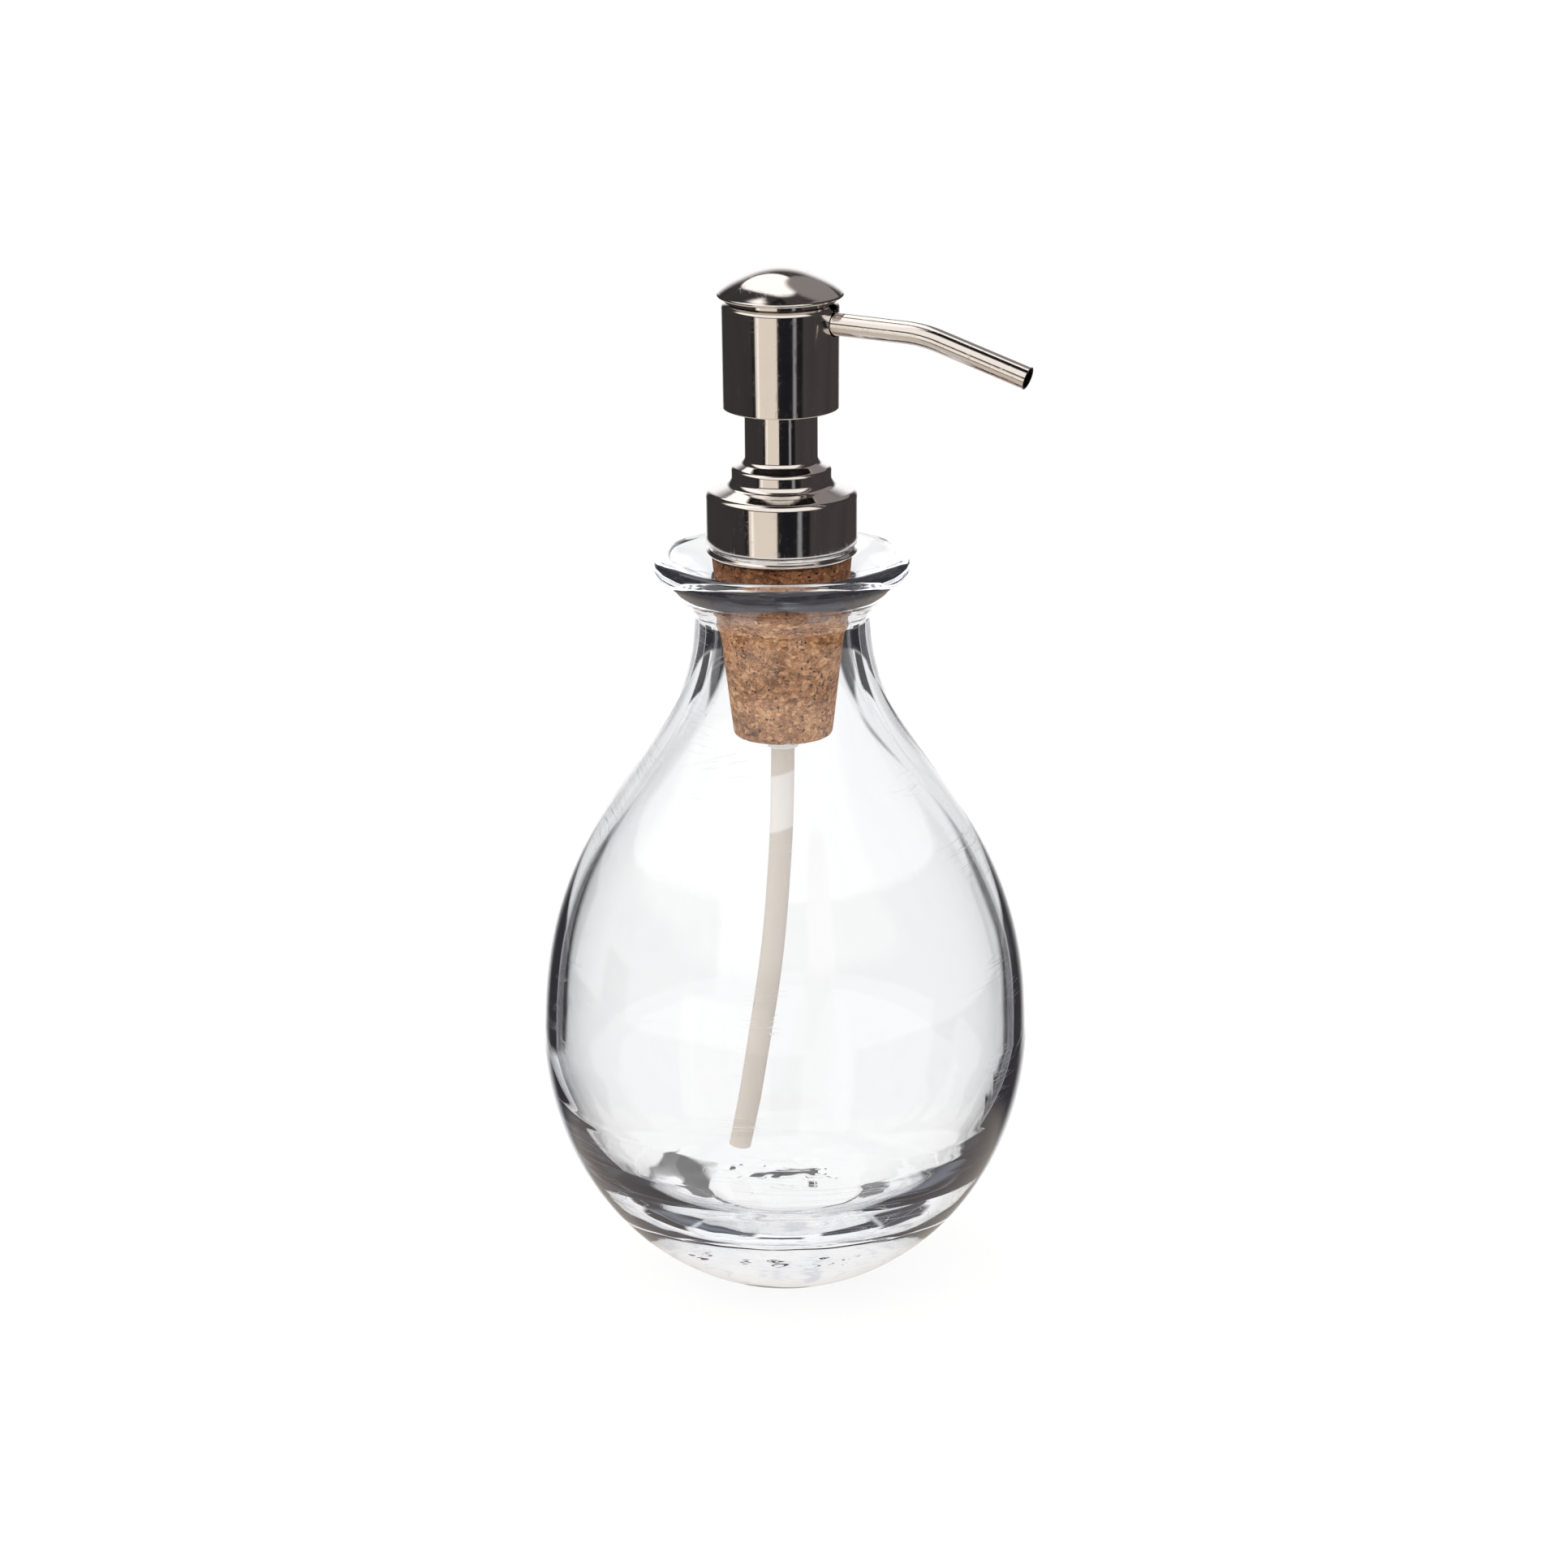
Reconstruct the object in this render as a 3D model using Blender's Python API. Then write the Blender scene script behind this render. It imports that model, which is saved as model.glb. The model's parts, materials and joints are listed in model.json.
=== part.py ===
"""Soap pump dispenser: a round-bellied glass bottle, a tapered cork stopper, and a two-ball
lotion pump with a deep-drawn steel collar, a domed head and a bent steel spout.

+Z is up, the foot stands at z = 0 on the bottle's axis, and the spout points along +X.
Sizes are in millimetres and become metres where a mesh is made. Heights stack upwards from
the bottle's neck, so a changed size carries everything above it along.
"""

from math import asin, cos, degrees, pi, radians, sin, sqrt, tan

import bmesh
import bpy
from mathutils import Matrix, Vector

MM = 0.001
GAP = 0.3  # clearance that neighbouring pieces keep to each other
SIDES = 24  # facets round a turned piece
WIDE_SIDES = 32  # facets round a wide turned piece
SHARP = radians(32)  # edges folded more than this stay sharp when shaded

# Glass bottle
BELLY_RADIUS = 51.8
BELLY_HEIGHT = 55.0
FOOT_RADIUS = 16.7
NECK_HEIGHT = 145.5  # height of the narrowest place
GLASS_WALL = 2.6
NECK_WALL = 4.25
FLOOR_THICKNESS = 17.0
FLOOR_RISE = 1.2
HEEL_RADIUS = 26.0
HEEL_PULL = 36.0
RIM_RADIUS = 27.1
RIM_BEAD = 2.5  # radius of the fire-rounded lip
FLARE_RISE = 13.3  # from the narrowest place to the top of the lip
BORE_RISE = 6.0  # straight part of the bore above the narrowest place
SHOULDER_SWEEP = 0.567  # how far the belly's curve runs up before it turns in
NECK_SWEEP = 0.37  # how far the neck's curve runs down before it turns out
BOTTLE_SIDES = 40

# Cork stopper
CORK_TOP_RADIUS = 14.9
CORK_BOTTOM_RADIUS = 10.3
SEAT_RISE = 5.5  # where the cork grips, above the narrowest place
CORK_ABOVE_SEAT = 8.2
CORK_BELOW_SEAT = 31.2

# Steel collar, drawn in one piece with its step and neck
COLLAR_RADIUS = 16.0
COLLAR_WALL = 0.8
GROOVE_DEPTH = 0.7
LIP_HEIGHT = 1.3
GROOVE_HEIGHT = 1.9
SHOULDER_RISE = 1.75  # of the sloping shoulder, from the side to the step
STEP_RADIUS = 10.6
STEP_HEIGHT = 5.1
STEP_RISE = 1.3  # of the step's sloping top, up to the neck
SLEEVE_RADIUS = 7.75
SLEEVE_WALL = 0.7
SLEEVE_OVERLAP = 3.0  # of the neck inside the head's skirt

# Plastic pieces that join the pump to the cork
BUSH_FLANGE = 1.8
BUSH_RISE = 5.2
BUSH_DEPTH = 13.0
BUSH_WALL = 1.2
GASKET_THICKNESS = 1.0
HOUSING_FLANGE = 1.4
ROOF_THICKNESS = 2.0
CLOSURE_WALL = 1.3

# Pump
STROKE = 9.0
CHAMBER_RADIUS = 6.15
HOUSING_WALL = 1.05
HOUSING_DEPTH = 40.5  # from its flange to the end of its straight side
THROAT_RADIUS = 1.4
STEM_RADIUS = 2.6
STEM_BORE = 1.2
STEM_GRIP = 7.0  # of the stem in the head's core
PISTON_HEIGHT = 6.4
INLET_BALL_RADIUS = 2.4
INLET_LIFT = 1.9
OUTLET_BALL_RADIUS = 1.75
OUTLET_LIFT = 1.5
CAGE_PLATE = 1.2
WIRE_RADIUS = 0.45
COILS = 7
TUBE_RADIUS = 2.45
TUBE_WALL = 0.6
NIPPLE_WALL = 0.45
NIPPLE_DROP = 2.6  # of the housing's nipple below the cork
TUBE_FLOOR_CLEARANCE = 6.0
TUBE_NECK_CLEARANCE = 0.6

# Head
SKIRT_CLEARANCE = 3.7  # left under the skirt when the head is down
SKIRT_RADIUS = 12.3
HEAD_TOP_RADIUS = 12.45
HEAD_WALL = 0.7
MOUTH_LIP = 1.5  # how far the shell's top edge turns in over its side
HEAD_HEIGHT = 22.6
CAP_RADIUS = 13.45
CAP_BAND_RADIUS = 11.9  # of the cap's short upright band under its edge
CAP_EDGE_RISE = 1.6  # of the cap's edge above the shell
CAP_RISE = 5.6
CAP_WALL = 0.9
SPIGOT_WALL = 0.8
SPOUT_RISE = 19.0  # of the spout's axis above the skirt
SPOUT_RADIUS = 2.45
SPOUT_WALL = 0.4
SPOUT_BEND_AT = 32.2
SPOUT_BEND_RADIUS = 28.0
SPOUT_TIP_AT = 55.3
SPOUT_FALL = radians(1.5)  # slope of the spout's first run
SPOUT_DROOP = radians(17.4)  # slope past its bend
SLOT_WIDTH = 3.2
SOCKET_END = 1.5  # wall between the ball's chamber and the spout's socket

# Worked out from the sizes above
SEAT = NECK_HEIGHT + SEAT_RISE
CORK_TOP = SEAT + CORK_ABOVE_SEAT
CORK_BOTTOM = SEAT - CORK_BELOW_SEAT
CORK_TAPER = (CORK_TOP_RADIUS - CORK_BOTTOM_RADIUS) / (CORK_TOP - CORK_BOTTOM)
BORE_RADIUS = CORK_TOP_RADIUS - CORK_TAPER * CORK_ABOVE_SEAT + GAP
NECK_RADIUS = BORE_RADIUS + NECK_WALL
RIM_TOP = NECK_HEIGHT + FLARE_RISE

HOUSING_RADIUS = CHAMBER_RADIUS + HOUSING_WALL
BUSH_BORE = HOUSING_RADIUS + GAP
BUSH_RADIUS = BUSH_BORE + BUSH_WALL
CLOSURE_RADIUS = COLLAR_RADIUS - GROOVE_DEPTH - COLLAR_WALL - GAP
CLOSURE_BORE = CLOSURE_RADIUS - CLOSURE_WALL

BUSH_FLANGE_TOP = CORK_TOP + GAP + BUSH_FLANGE
BUSH_TOP = BUSH_FLANGE_TOP + BUSH_RISE
GASKET_TOP = BUSH_TOP + GAP + GASKET_THICKNESS
HOUSING_TOP = GASKET_TOP + GAP + HOUSING_FLANGE
ROOF_TOP = HOUSING_TOP + GAP + ROOF_THICKNESS
SHOULDER_TOP = ROOF_TOP + GAP + COLLAR_WALL
STEP_TOP = SHOULDER_TOP + STEP_HEIGHT

SKIRT = STEP_TOP + SKIRT_CLEARANCE + STROKE
SLEEVE_TOP = SKIRT + SLEEVE_OVERLAP
SPOUT_HEIGHT = SKIRT + SPOUT_RISE
SHELL_TOP = SKIRT + HEAD_HEIGHT
CORE_BASE = SLEEVE_TOP + STROKE + 2 * GAP
STEM_TOP = CORE_BASE + 2.4
BOSS_BASE = STEM_TOP - STEM_GRIP
SLEEVE_BUSH_TOP = BOSS_BASE - STROKE - 2 * GAP

CONE_TOP = HOUSING_TOP - HOUSING_DEPTH
LEDGE = CONE_TOP + 0.6
LEDGE_RADIUS = CHAMBER_RADIUS - 0.95
THROAT = LEDGE - (LEDGE_RADIUS - THROAT_RADIUS)
NIPPLE_BORE = TUBE_RADIUS + GAP
NIPPLE_RADIUS = NIPPLE_BORE + NIPPLE_WALL
CONE_BASE = CONE_TOP - (HOUSING_RADIUS - NIPPLE_RADIUS)
INLET_BALL_HEIGHT = THROAT - THROAT_RADIUS + (INLET_BALL_RADIUS + GAP / 2) * sqrt(2)
CAGE_STOP = INLET_BALL_HEIGHT + INLET_BALL_RADIUS + INLET_LIFT + GAP
SPRING_BASE = CAGE_STOP + CAGE_PLATE + GAP
CHAPLET_FOOT = HOUSING_TOP - 4.9
STEM_STOP_TOP = CHAPLET_FOOT - GAP
STEM_STOP_BASE = STEM_STOP_TOP - 1.2
PISTON_BASE = STEM_STOP_BASE - GAP - PISTON_HEIGHT
RETAINER_TOP = PISTON_BASE - GAP
SPRING_TOP = RETAINER_TOP - 1.4 - GAP
SPRING_RADIUS = CHAMBER_RADIUS - 2 * GAP - WIRE_RADIUS - 0.2


def clear_scene():
    for obj in list(bpy.data.objects):
        bpy.data.objects.remove(obj, do_unlink=True)


def painted(obj, colour, roughness, metallic=0.0):
    """Gives an object its own Principled material and smooth shading with crisp edges."""
    material = bpy.data.materials.new(obj.name)
    material.use_nodes = True
    shader = material.node_tree.nodes["Principled BSDF"]
    shader.inputs["Base Color"].default_value = (*colour, 1.0)
    shader.inputs["Roughness"].default_value = roughness
    shader.inputs["Metallic"].default_value = metallic
    material.diffuse_color = (*colour, 1.0)
    obj.data.materials.append(material)
    if obj.type == "MESH":
        obj.data.shade_smooth()
        obj.data.set_sharp_from_angle(angle=SHARP)
    return obj


def steel(obj):
    return painted(obj, (0.62, 0.6, 0.58), 0.12, 1.0)


def plastic(obj, shade=0.8):
    return painted(obj, (shade, shade, shade), 0.4)


def added(name, bm):
    """Turns a finished bmesh into an object of the scene."""
    mesh = bpy.data.meshes.new(name)
    bmesh.ops.recalc_face_normals(bm, faces=bm.faces)
    bm.to_mesh(mesh)
    bm.free()
    obj = bpy.data.objects.new(name, mesh)
    bpy.context.scene.collection.objects.link(obj)
    return obj


def turned(name, outline, sides=SIDES):
    """Spins an outline of (radius, height) pairs about Z. One that leaves the axis clear is a ring."""
    bm = bmesh.new()
    points = [bm.verts.new((radius * MM, 0, height * MM)) for radius, height in outline]
    for start, end in zip(points, points[1:]):
        bm.edges.new((start, end))
    if outline[0][0] > 0:
        bm.edges.new((points[-1], points[0]))
    profile = bm.verts[:] + bm.edges[:]
    bmesh.ops.spin(
        bm, geom=profile, axis=(0, 0, 1), angle=2 * pi, steps=sides, use_merge=True
    )
    bmesh.ops.remove_doubles(bm, verts=bm.verts, dist=1e-6)
    return added(name, bm)


def rounded(corners, steps=2):
    """The outline through corners (radius, height) or (radius, height, fillet)."""
    outline = []
    for index, corner in enumerate(corners):
        here = Vector(corner[:2])
        if len(corner) == 2:
            outline.append(here)
            continue
        back = (Vector(corners[index - 1][:2]) - here).normalized()
        ahead = (Vector(corners[(index + 1) % len(corners)][:2]) - here).normalized()
        half = back.angle(ahead) / 2
        centre = here + (back + ahead).normalized() * corner[2] / sin(half)
        first = here + back * corner[2] / tan(half) - centre
        last = here + ahead * corner[2] / tan(half) - centre
        for step in range(steps + 1):
            spoke = first.lerp(last, step / steps).normalized()
            outline.append(centre + spoke * corner[2])
    return outline


def arc(centre, radius, start, end, steps):
    """Points round an arc, or round an ellipse when radius is a pair. Angles are in degrees."""
    wide, high = radius if isinstance(radius, tuple) else (radius, radius)
    angles = [radians(start + (end - start) * step / steps) for step in range(steps + 1)]
    return [(centre[0] + wide * cos(a), centre[1] + high * sin(a)) for a in angles]


def bezier(start, start_pull, end_pull, end, steps):
    """Points along a cubic curve, without its first one."""
    knots = [Vector(knot) for knot in (start, start_pull, end_pull, end)]
    points = []
    for step in range(1, steps + 1):
        along = step / steps
        rest = 1 - along
        shares = (rest**3, 3 * rest**2 * along, 3 * rest * along**2, along**3)
        points.append(sum((knot * share for knot, share in zip(knots, shares)), Vector((0, 0))))
    return points


def swept_tube(name, path, outer, inner, sides):
    """A tube with open ends along a path of (x, z) points in the plane y = 0."""
    bm = bmesh.new()
    rings = []
    for index, point in enumerate(path):
        before = path[max(index - 1, 0)]
        after = path[min(index + 1, len(path) - 1)]
        along = Vector((after[0] - before[0], after[1] - before[1])).normalized()
        across = Vector((-along.y, 0, along.x))
        centre = Vector((point[0], 0, point[1]))
        for radius in (outer, inner):
            ring = []
            for side in range(sides):
                turn = 2 * pi * side / sides
                spoke = across * cos(turn) + Vector((0, 1, 0)) * sin(turn)
                ring.append(bm.verts.new((centre + spoke * radius) * MM))
            rings.append(ring)
    outside, inside = rings[0::2], rings[1::2]
    pairs = list(zip(outside, outside[1:])) + list(zip(inside, inside[1:]))
    pairs += [(outside[0], inside[0]), (outside[-1], inside[-1])]
    for first, second in pairs:
        for side in range(sides):
            after = (side + 1) % sides
            bm.faces.new((first[side], first[after], second[after], second[side]))
    return added(name, bm)


def ball(name, radius, height):
    bm = bmesh.new()
    bmesh.ops.create_icosphere(bm, subdivisions=3, radius=radius * MM)
    bmesh.ops.translate(bm, verts=bm.verts, vec=(0, 0, height * MM))
    return added(name, bm)


def cut(obj, tool):
    """Takes a tool's shape out of an object. The tool itself is left out of the model."""
    tool.hide_render = True
    tool.display_type = "WIRE"
    modifier = obj.modifiers.new(tool.name, "BOOLEAN")
    modifier.operation = "DIFFERENCE"
    modifier.solver = "EXACT"
    modifier.object = tool


def along_spout(tool):
    """Turns a shape made about Z so that its +Z points out along the spout's first run."""
    turn = Matrix.Rotation(pi / 2 + SPOUT_FALL, 4, "Y")
    tool.matrix_world = Matrix.Translation((0, 0, SPOUT_HEIGHT * MM)) @ turn
    return tool


def glass_bottle():
    """Bottle with a thick, nearly flat floor, a shoulder that sweeps into the neck, and a flared lip."""
    foot_turn = degrees(asin(FOOT_RADIUS / BELLY_RADIUS))
    bowl_depth = BELLY_HEIGHT / cos(radians(foot_turn))
    rise = NECK_HEIGHT - BELLY_HEIGHT
    shoulder = BELLY_HEIGHT + SHOULDER_SWEEP * rise
    nape = NECK_HEIGHT - NECK_SWEEP * rise
    belly = (0, BELLY_HEIGHT)
    outline = [(0, 0)] + arc(belly, (BELLY_RADIUS, bowl_depth), foot_turn - 90, 0, 8)
    outline += bezier(
        outline[-1], (BELLY_RADIUS, shoulder), (NECK_RADIUS, nape), (NECK_RADIUS, NECK_HEIGHT), 10
    )
    lip = (RIM_RADIUS - RIM_BEAD, RIM_TOP - RIM_BEAD)
    bead = arc(lip, RIM_BEAD, -45, 125, 6)
    under = Vector(bead[0]) - Vector((1, 1)) * 1.6 * RIM_BEAD
    outline += bezier(outline[-1], (NECK_RADIUS, NECK_HEIGHT + RIM_BEAD), under, bead[0], 5)
    outline += bead[1:]

    inner_radius = BELLY_RADIUS - GLASS_WALL
    throat = NECK_HEIGHT + BORE_RISE
    entry = Vector((-sin(radians(125)), cos(radians(125)))) * 1.6 * RIM_BEAD
    outline += bezier(
        bead[-1], Vector(bead[-1]) + entry, (BORE_RADIUS, throat + 1.6 * RIM_BEAD),
        (BORE_RADIUS, throat), 4,
    )
    outline += bezier(
        (BORE_RADIUS, NECK_HEIGHT), (BORE_RADIUS, nape), (inner_radius, shoulder),
        (inner_radius, BELLY_HEIGHT), 10,
    )
    outline.insert(-10, (BORE_RADIUS, NECK_HEIGHT))
    heel = (HEEL_RADIUS, FLOOR_THICKNESS + FLOOR_RISE)
    outline += bezier(
        outline[-1], (inner_radius, HEEL_PULL), (HEEL_RADIUS + 11.5, heel[1] + 0.6), heel, 7
    )
    outline += bezier(
        heel, (HEEL_RADIUS - 8, heel[1] - 0.4), (10, FLOOR_THICKNESS), (0, FLOOR_THICKNESS), 3
    )
    return painted(turned("glass_bottle", outline, BOTTLE_SIDES), (0.85, 0.9, 0.9), 0.03)


def cork_stopper():
    """Tapered cork with a stepped bore for the bushing, the pump housing and its nipple."""
    step = CORK_TOP - BUSH_DEPTH
    outline = rounded([
        (CORK_BOTTOM_RADIUS, CORK_BOTTOM, 1.3),
        (CORK_TOP_RADIUS, CORK_TOP, 0.5),
        (BUSH_RADIUS + GAP, CORK_TOP),
        (BUSH_RADIUS + GAP, step - GAP),
        (BUSH_BORE, step - GAP),
        (BUSH_BORE, CONE_TOP - GAP),
        (NIPPLE_RADIUS + GAP, CONE_BASE - GAP),
        (NIPPLE_RADIUS + GAP, CORK_BOTTOM),
    ])
    return painted(turned("cork_stopper", outline, WIDE_SIDES), (0.5, 0.27, 0.13), 0.85)


def cork_bushing():
    """Plastic bushing glued into the cork. Its spigot carries the pump like a bottle's neck."""
    outline = rounded([
        (BUSH_BORE, CORK_TOP - BUSH_DEPTH),
        (BUSH_RADIUS, CORK_TOP - BUSH_DEPTH, 0.4),
        (BUSH_RADIUS, CORK_TOP + GAP),
        (CLOSURE_BORE - GAP, CORK_TOP + GAP),
        (CLOSURE_BORE - GAP, BUSH_FLANGE_TOP),
        (CLOSURE_BORE - 1.6, BUSH_FLANGE_TOP + 0.6),
        (CLOSURE_BORE - 1.6, BUSH_TOP - 2.0),
        (CLOSURE_BORE - 0.9, BUSH_TOP - 1.2),
        (CLOSURE_BORE - 1.6, BUSH_TOP, 0.3),
        (BUSH_BORE, BUSH_TOP),
    ])
    return plastic(turned("cork_bushing", outline), 0.7)


def gasket():
    outline = rounded([
        (BUSH_BORE, BUSH_TOP + GAP, 0.3),
        (CLOSURE_BORE - 1.8, BUSH_TOP + GAP, 0.3),
        (CLOSURE_BORE - 1.8, GASKET_TOP, 0.3),
        (BUSH_BORE, GASKET_TOP, 0.3),
    ], 2)
    return painted(turned("gasket", outline), (0.75, 0.73, 0.68), 0.7)


def closure():
    """Plastic closure inside the collar: a roof over the housing's flange and a skirt with a snap bead."""
    hole = CHAMBER_RADIUS + 2.45
    outline = rounded([
        (CLOSURE_BORE, BUSH_FLANGE_TOP - 1.0, 0.3),
        (CLOSURE_RADIUS, BUSH_FLANGE_TOP - 1.0, 0.3),
        (CLOSURE_RADIUS, ROOF_TOP, 0.6),
        (hole, ROOF_TOP),
        (hole, ROOF_TOP - ROOF_THICKNESS),
        (CLOSURE_BORE, ROOF_TOP - ROOF_THICKNESS),
        (CLOSURE_BORE, BUSH_TOP - 2.2),
        (CLOSURE_BORE - 0.5, BUSH_TOP - 2.8),
        (CLOSURE_BORE, BUSH_TOP - 3.6),
    ])
    return plastic(turned("closure", outline, WIDE_SIDES), 0.25)


def collar_shell():
    """Deep-drawn steel collar: rolled lip, groove, straight side, shoulder, step and neck in one wall."""
    lip = CORK_TOP + GAP
    groove = lip + LIP_HEIGHT
    side = groove + GROOVE_HEIGHT
    outside = [
        (COLLAR_RADIUS - 0.5, lip, 0.3),
        (COLLAR_RADIUS, lip + 0.6, 0.3),
        (COLLAR_RADIUS - GROOVE_DEPTH, groove, 0.6),
        (COLLAR_RADIUS - GROOVE_DEPTH, side - 0.8, 0.6),
        (COLLAR_RADIUS, side, 0.5),
        (COLLAR_RADIUS, SHOULDER_TOP, 1.3),
        (STEP_RADIUS, SHOULDER_TOP + SHOULDER_RISE, 1.9),
        (STEP_RADIUS, STEP_TOP, 0.9),
        (SLEEVE_RADIUS, STEP_TOP + STEP_RISE, 1.5),
        (SLEEVE_RADIUS, SLEEVE_TOP),
    ]
    inside = [
        (SLEEVE_RADIUS - SLEEVE_WALL, SLEEVE_TOP),
        (SLEEVE_RADIUS - SLEEVE_WALL, STEP_TOP + STEP_RISE - COLLAR_WALL),
        (STEP_RADIUS - COLLAR_WALL, STEP_TOP - COLLAR_WALL),
        (STEP_RADIUS - COLLAR_WALL, SHOULDER_TOP + SHOULDER_RISE - COLLAR_WALL),
        (COLLAR_RADIUS - COLLAR_WALL, SHOULDER_TOP - COLLAR_WALL),
        (COLLAR_RADIUS - COLLAR_WALL, side),
        (COLLAR_RADIUS - COLLAR_WALL - GROOVE_DEPTH, side - 0.8),
        (COLLAR_RADIUS - COLLAR_WALL - GROOVE_DEPTH, lip),
    ]
    return steel(turned("collar_shell", rounded(outside + inside), WIDE_SIDES))


def pump_housing():
    """Pump cylinder: a flange on top, the chamber, a conical ball seat and a nipple for the dip tube."""
    outline = rounded([
        (NIPPLE_RADIUS, CORK_BOTTOM - NIPPLE_DROP, 0.2),
        (NIPPLE_RADIUS, CONE_BASE),
        (HOUSING_RADIUS, CONE_TOP),
        (HOUSING_RADIUS, HOUSING_TOP - HOUSING_FLANGE),
        (CLOSURE_BORE - 1.8, HOUSING_TOP - HOUSING_FLANGE),
        (CLOSURE_BORE - 1.8, HOUSING_TOP, 0.3),
        (CHAMBER_RADIUS, HOUSING_TOP),
        (CHAMBER_RADIUS, LEDGE),
        (LEDGE_RADIUS, LEDGE),
        (THROAT_RADIUS, THROAT),
        (THROAT_RADIUS, THROAT - 1.4),
        (NIPPLE_BORE, THROAT - 1.4),
        (NIPPLE_BORE, CORK_BOTTOM - NIPPLE_DROP),
    ])
    return plastic(turned("pump_housing", outline), 0.86)


def chaplet():
    """Guide that closes the pump chamber and fills the collar's step. The stem slides through it."""
    plug = CHAMBER_RADIUS - GAP
    waist = CHAMBER_RADIUS + 2.15
    outline = rounded([
        (STEM_RADIUS + GAP, CHAPLET_FOOT),
        (plug, CHAPLET_FOOT, 0.4),
        (plug, HOUSING_TOP + GAP),
        (waist, HOUSING_TOP + GAP),
        (waist, ROOF_TOP + GAP),
        (STEP_RADIUS - COLLAR_WALL - GAP, ROOF_TOP + GAP),
        (STEP_RADIUS - COLLAR_WALL - GAP, STEP_TOP - COLLAR_WALL - GAP, 0.5),
        (STEM_RADIUS + 2.2, STEP_TOP - COLLAR_WALL - GAP),
        (STEM_RADIUS + 2.2, ROOF_TOP),
        (STEM_RADIUS + GAP, ROOF_TOP),
    ])
    return plastic(turned("chaplet", outline), 0.75)


def sleeve_bush():
    """Guide bush pressed into the top of the collar's neck."""
    outline = rounded([
        (STEM_RADIUS + GAP, SLEEVE_BUSH_TOP - 6.0),
        (SLEEVE_RADIUS - SLEEVE_WALL - GAP, SLEEVE_BUSH_TOP - 6.0, 0.4),
        (SLEEVE_RADIUS - SLEEVE_WALL - GAP, SLEEVE_BUSH_TOP, 0.4),
        (STEM_RADIUS + GAP, SLEEVE_BUSH_TOP),
    ])
    return plastic(turned("sleeve_bush", outline), 0.75)


def ball_cage():
    """Cage over the inlet ball: its plate stops the ball, lets the soap by and carries the spring."""
    rim = CHAMBER_RADIUS - GAP
    outline = rounded([
        (0, CAGE_STOP),
        (LEDGE_RADIUS - GAP, CAGE_STOP),
        (LEDGE_RADIUS - GAP, LEDGE + GAP),
        (rim, LEDGE + GAP),
        (rim, CAGE_STOP + CAGE_PLATE, 0.3),
        (0, CAGE_STOP + CAGE_PLATE),
    ])
    cage = turned("ball_cage", outline)
    port = (SPRING_RADIUS - WIRE_RADIUS) / 4
    for index in range(4):
        bm = bmesh.new()
        bmesh.ops.create_cone(
            bm, cap_ends=True, segments=12, radius1=port * MM, radius2=port * MM,
            depth=3 * CAGE_PLATE * MM,
        )
        hole = added(f"cage_port_{index + 1}", bm)
        turn = pi / 4 + index * pi / 2
        away = SPRING_RADIUS - WIRE_RADIUS - port
        hole.location = (
            away * cos(turn) * MM, away * sin(turn) * MM, (CAGE_STOP + CAGE_PLATE / 2) * MM
        )
        cut(cage, hole)
    return plastic(cage, 0.8)


def return_spring():
    """Compression spring with its end coils closed up: the pitch eases off towards both ends."""
    per_turn = 14
    count = COILS * per_turn
    closed_pitch = 2.3 * WIRE_RADIUS
    bottom = SPRING_BASE + WIRE_RADIUS
    climb = SPRING_TOP - SPRING_BASE - 2 * WIRE_RADIUS
    open_pitch = (climb - 2 * closed_pitch) / (COILS - 2)
    curve = bpy.data.curves.new("return_spring", "CURVE")
    curve.dimensions = "3D"
    spline = curve.splines.new("POLY")
    spline.points.add(count)
    for index, point in enumerate(spline.points):
        turns = index / per_turn
        low = min(turns, 1) * closed_pitch
        middle = min(max(turns - 1, 0), COILS - 2) * open_pitch
        high = max(turns - COILS + 1, 0) * closed_pitch
        angle = 2 * pi * turns
        height = bottom + low + middle + high
        across = Vector((cos(angle), sin(angle))) * SPRING_RADIUS
        point.co = (across.x * MM, across.y * MM, height * MM, 1)
    curve.bevel_depth = WIRE_RADIUS * MM
    curve.bevel_resolution = 1
    curve.use_fill_caps = True
    obj = bpy.data.objects.new("return_spring", curve)
    bpy.context.scene.collection.objects.link(obj)
    return painted(obj, (0.6, 0.6, 0.62), 0.25, 1.0)


def retainer():
    """Ring on the stem's tail that holds the piston up and takes the spring's push."""
    outline = rounded([
        (STEM_RADIUS + GAP, RETAINER_TOP - 3.1),
        (SPRING_RADIUS - WIRE_RADIUS - GAP, RETAINER_TOP - 3.1, 0.3),
        (SPRING_RADIUS - WIRE_RADIUS - GAP, RETAINER_TOP - 1.4),
        (CHAMBER_RADIUS - 2 * GAP, RETAINER_TOP - 1.4),
        (CHAMBER_RADIUS - 2 * GAP, RETAINER_TOP),
        (STEM_RADIUS + GAP, RETAINER_TOP),
    ])
    return plastic(turned("retainer", outline), 0.8)


def piston():
    """Soft piston with a wiping lip at each end."""
    lip = CHAMBER_RADIUS - GAP
    top = PISTON_BASE + PISTON_HEIGHT
    outline = rounded([
        (STEM_RADIUS + GAP, PISTON_BASE + 1.2),
        (lip - 1.0, PISTON_BASE + 1.2),
        (lip - 0.5, PISTON_BASE),
        (lip, PISTON_BASE),
        (lip, PISTON_BASE + 1.0),
        (lip - 1.2, PISTON_BASE + 2.2, 0.4),
        (lip - 1.2, top - 2.2, 0.4),
        (lip, top - 1.0),
        (lip, top),
        (lip - 0.5, top),
        (lip - 1.0, top - 1.2),
        (STEM_RADIUS + GAP, top - 1.2),
    ], 2)
    return plastic(turned("piston", outline), 0.9)


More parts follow.
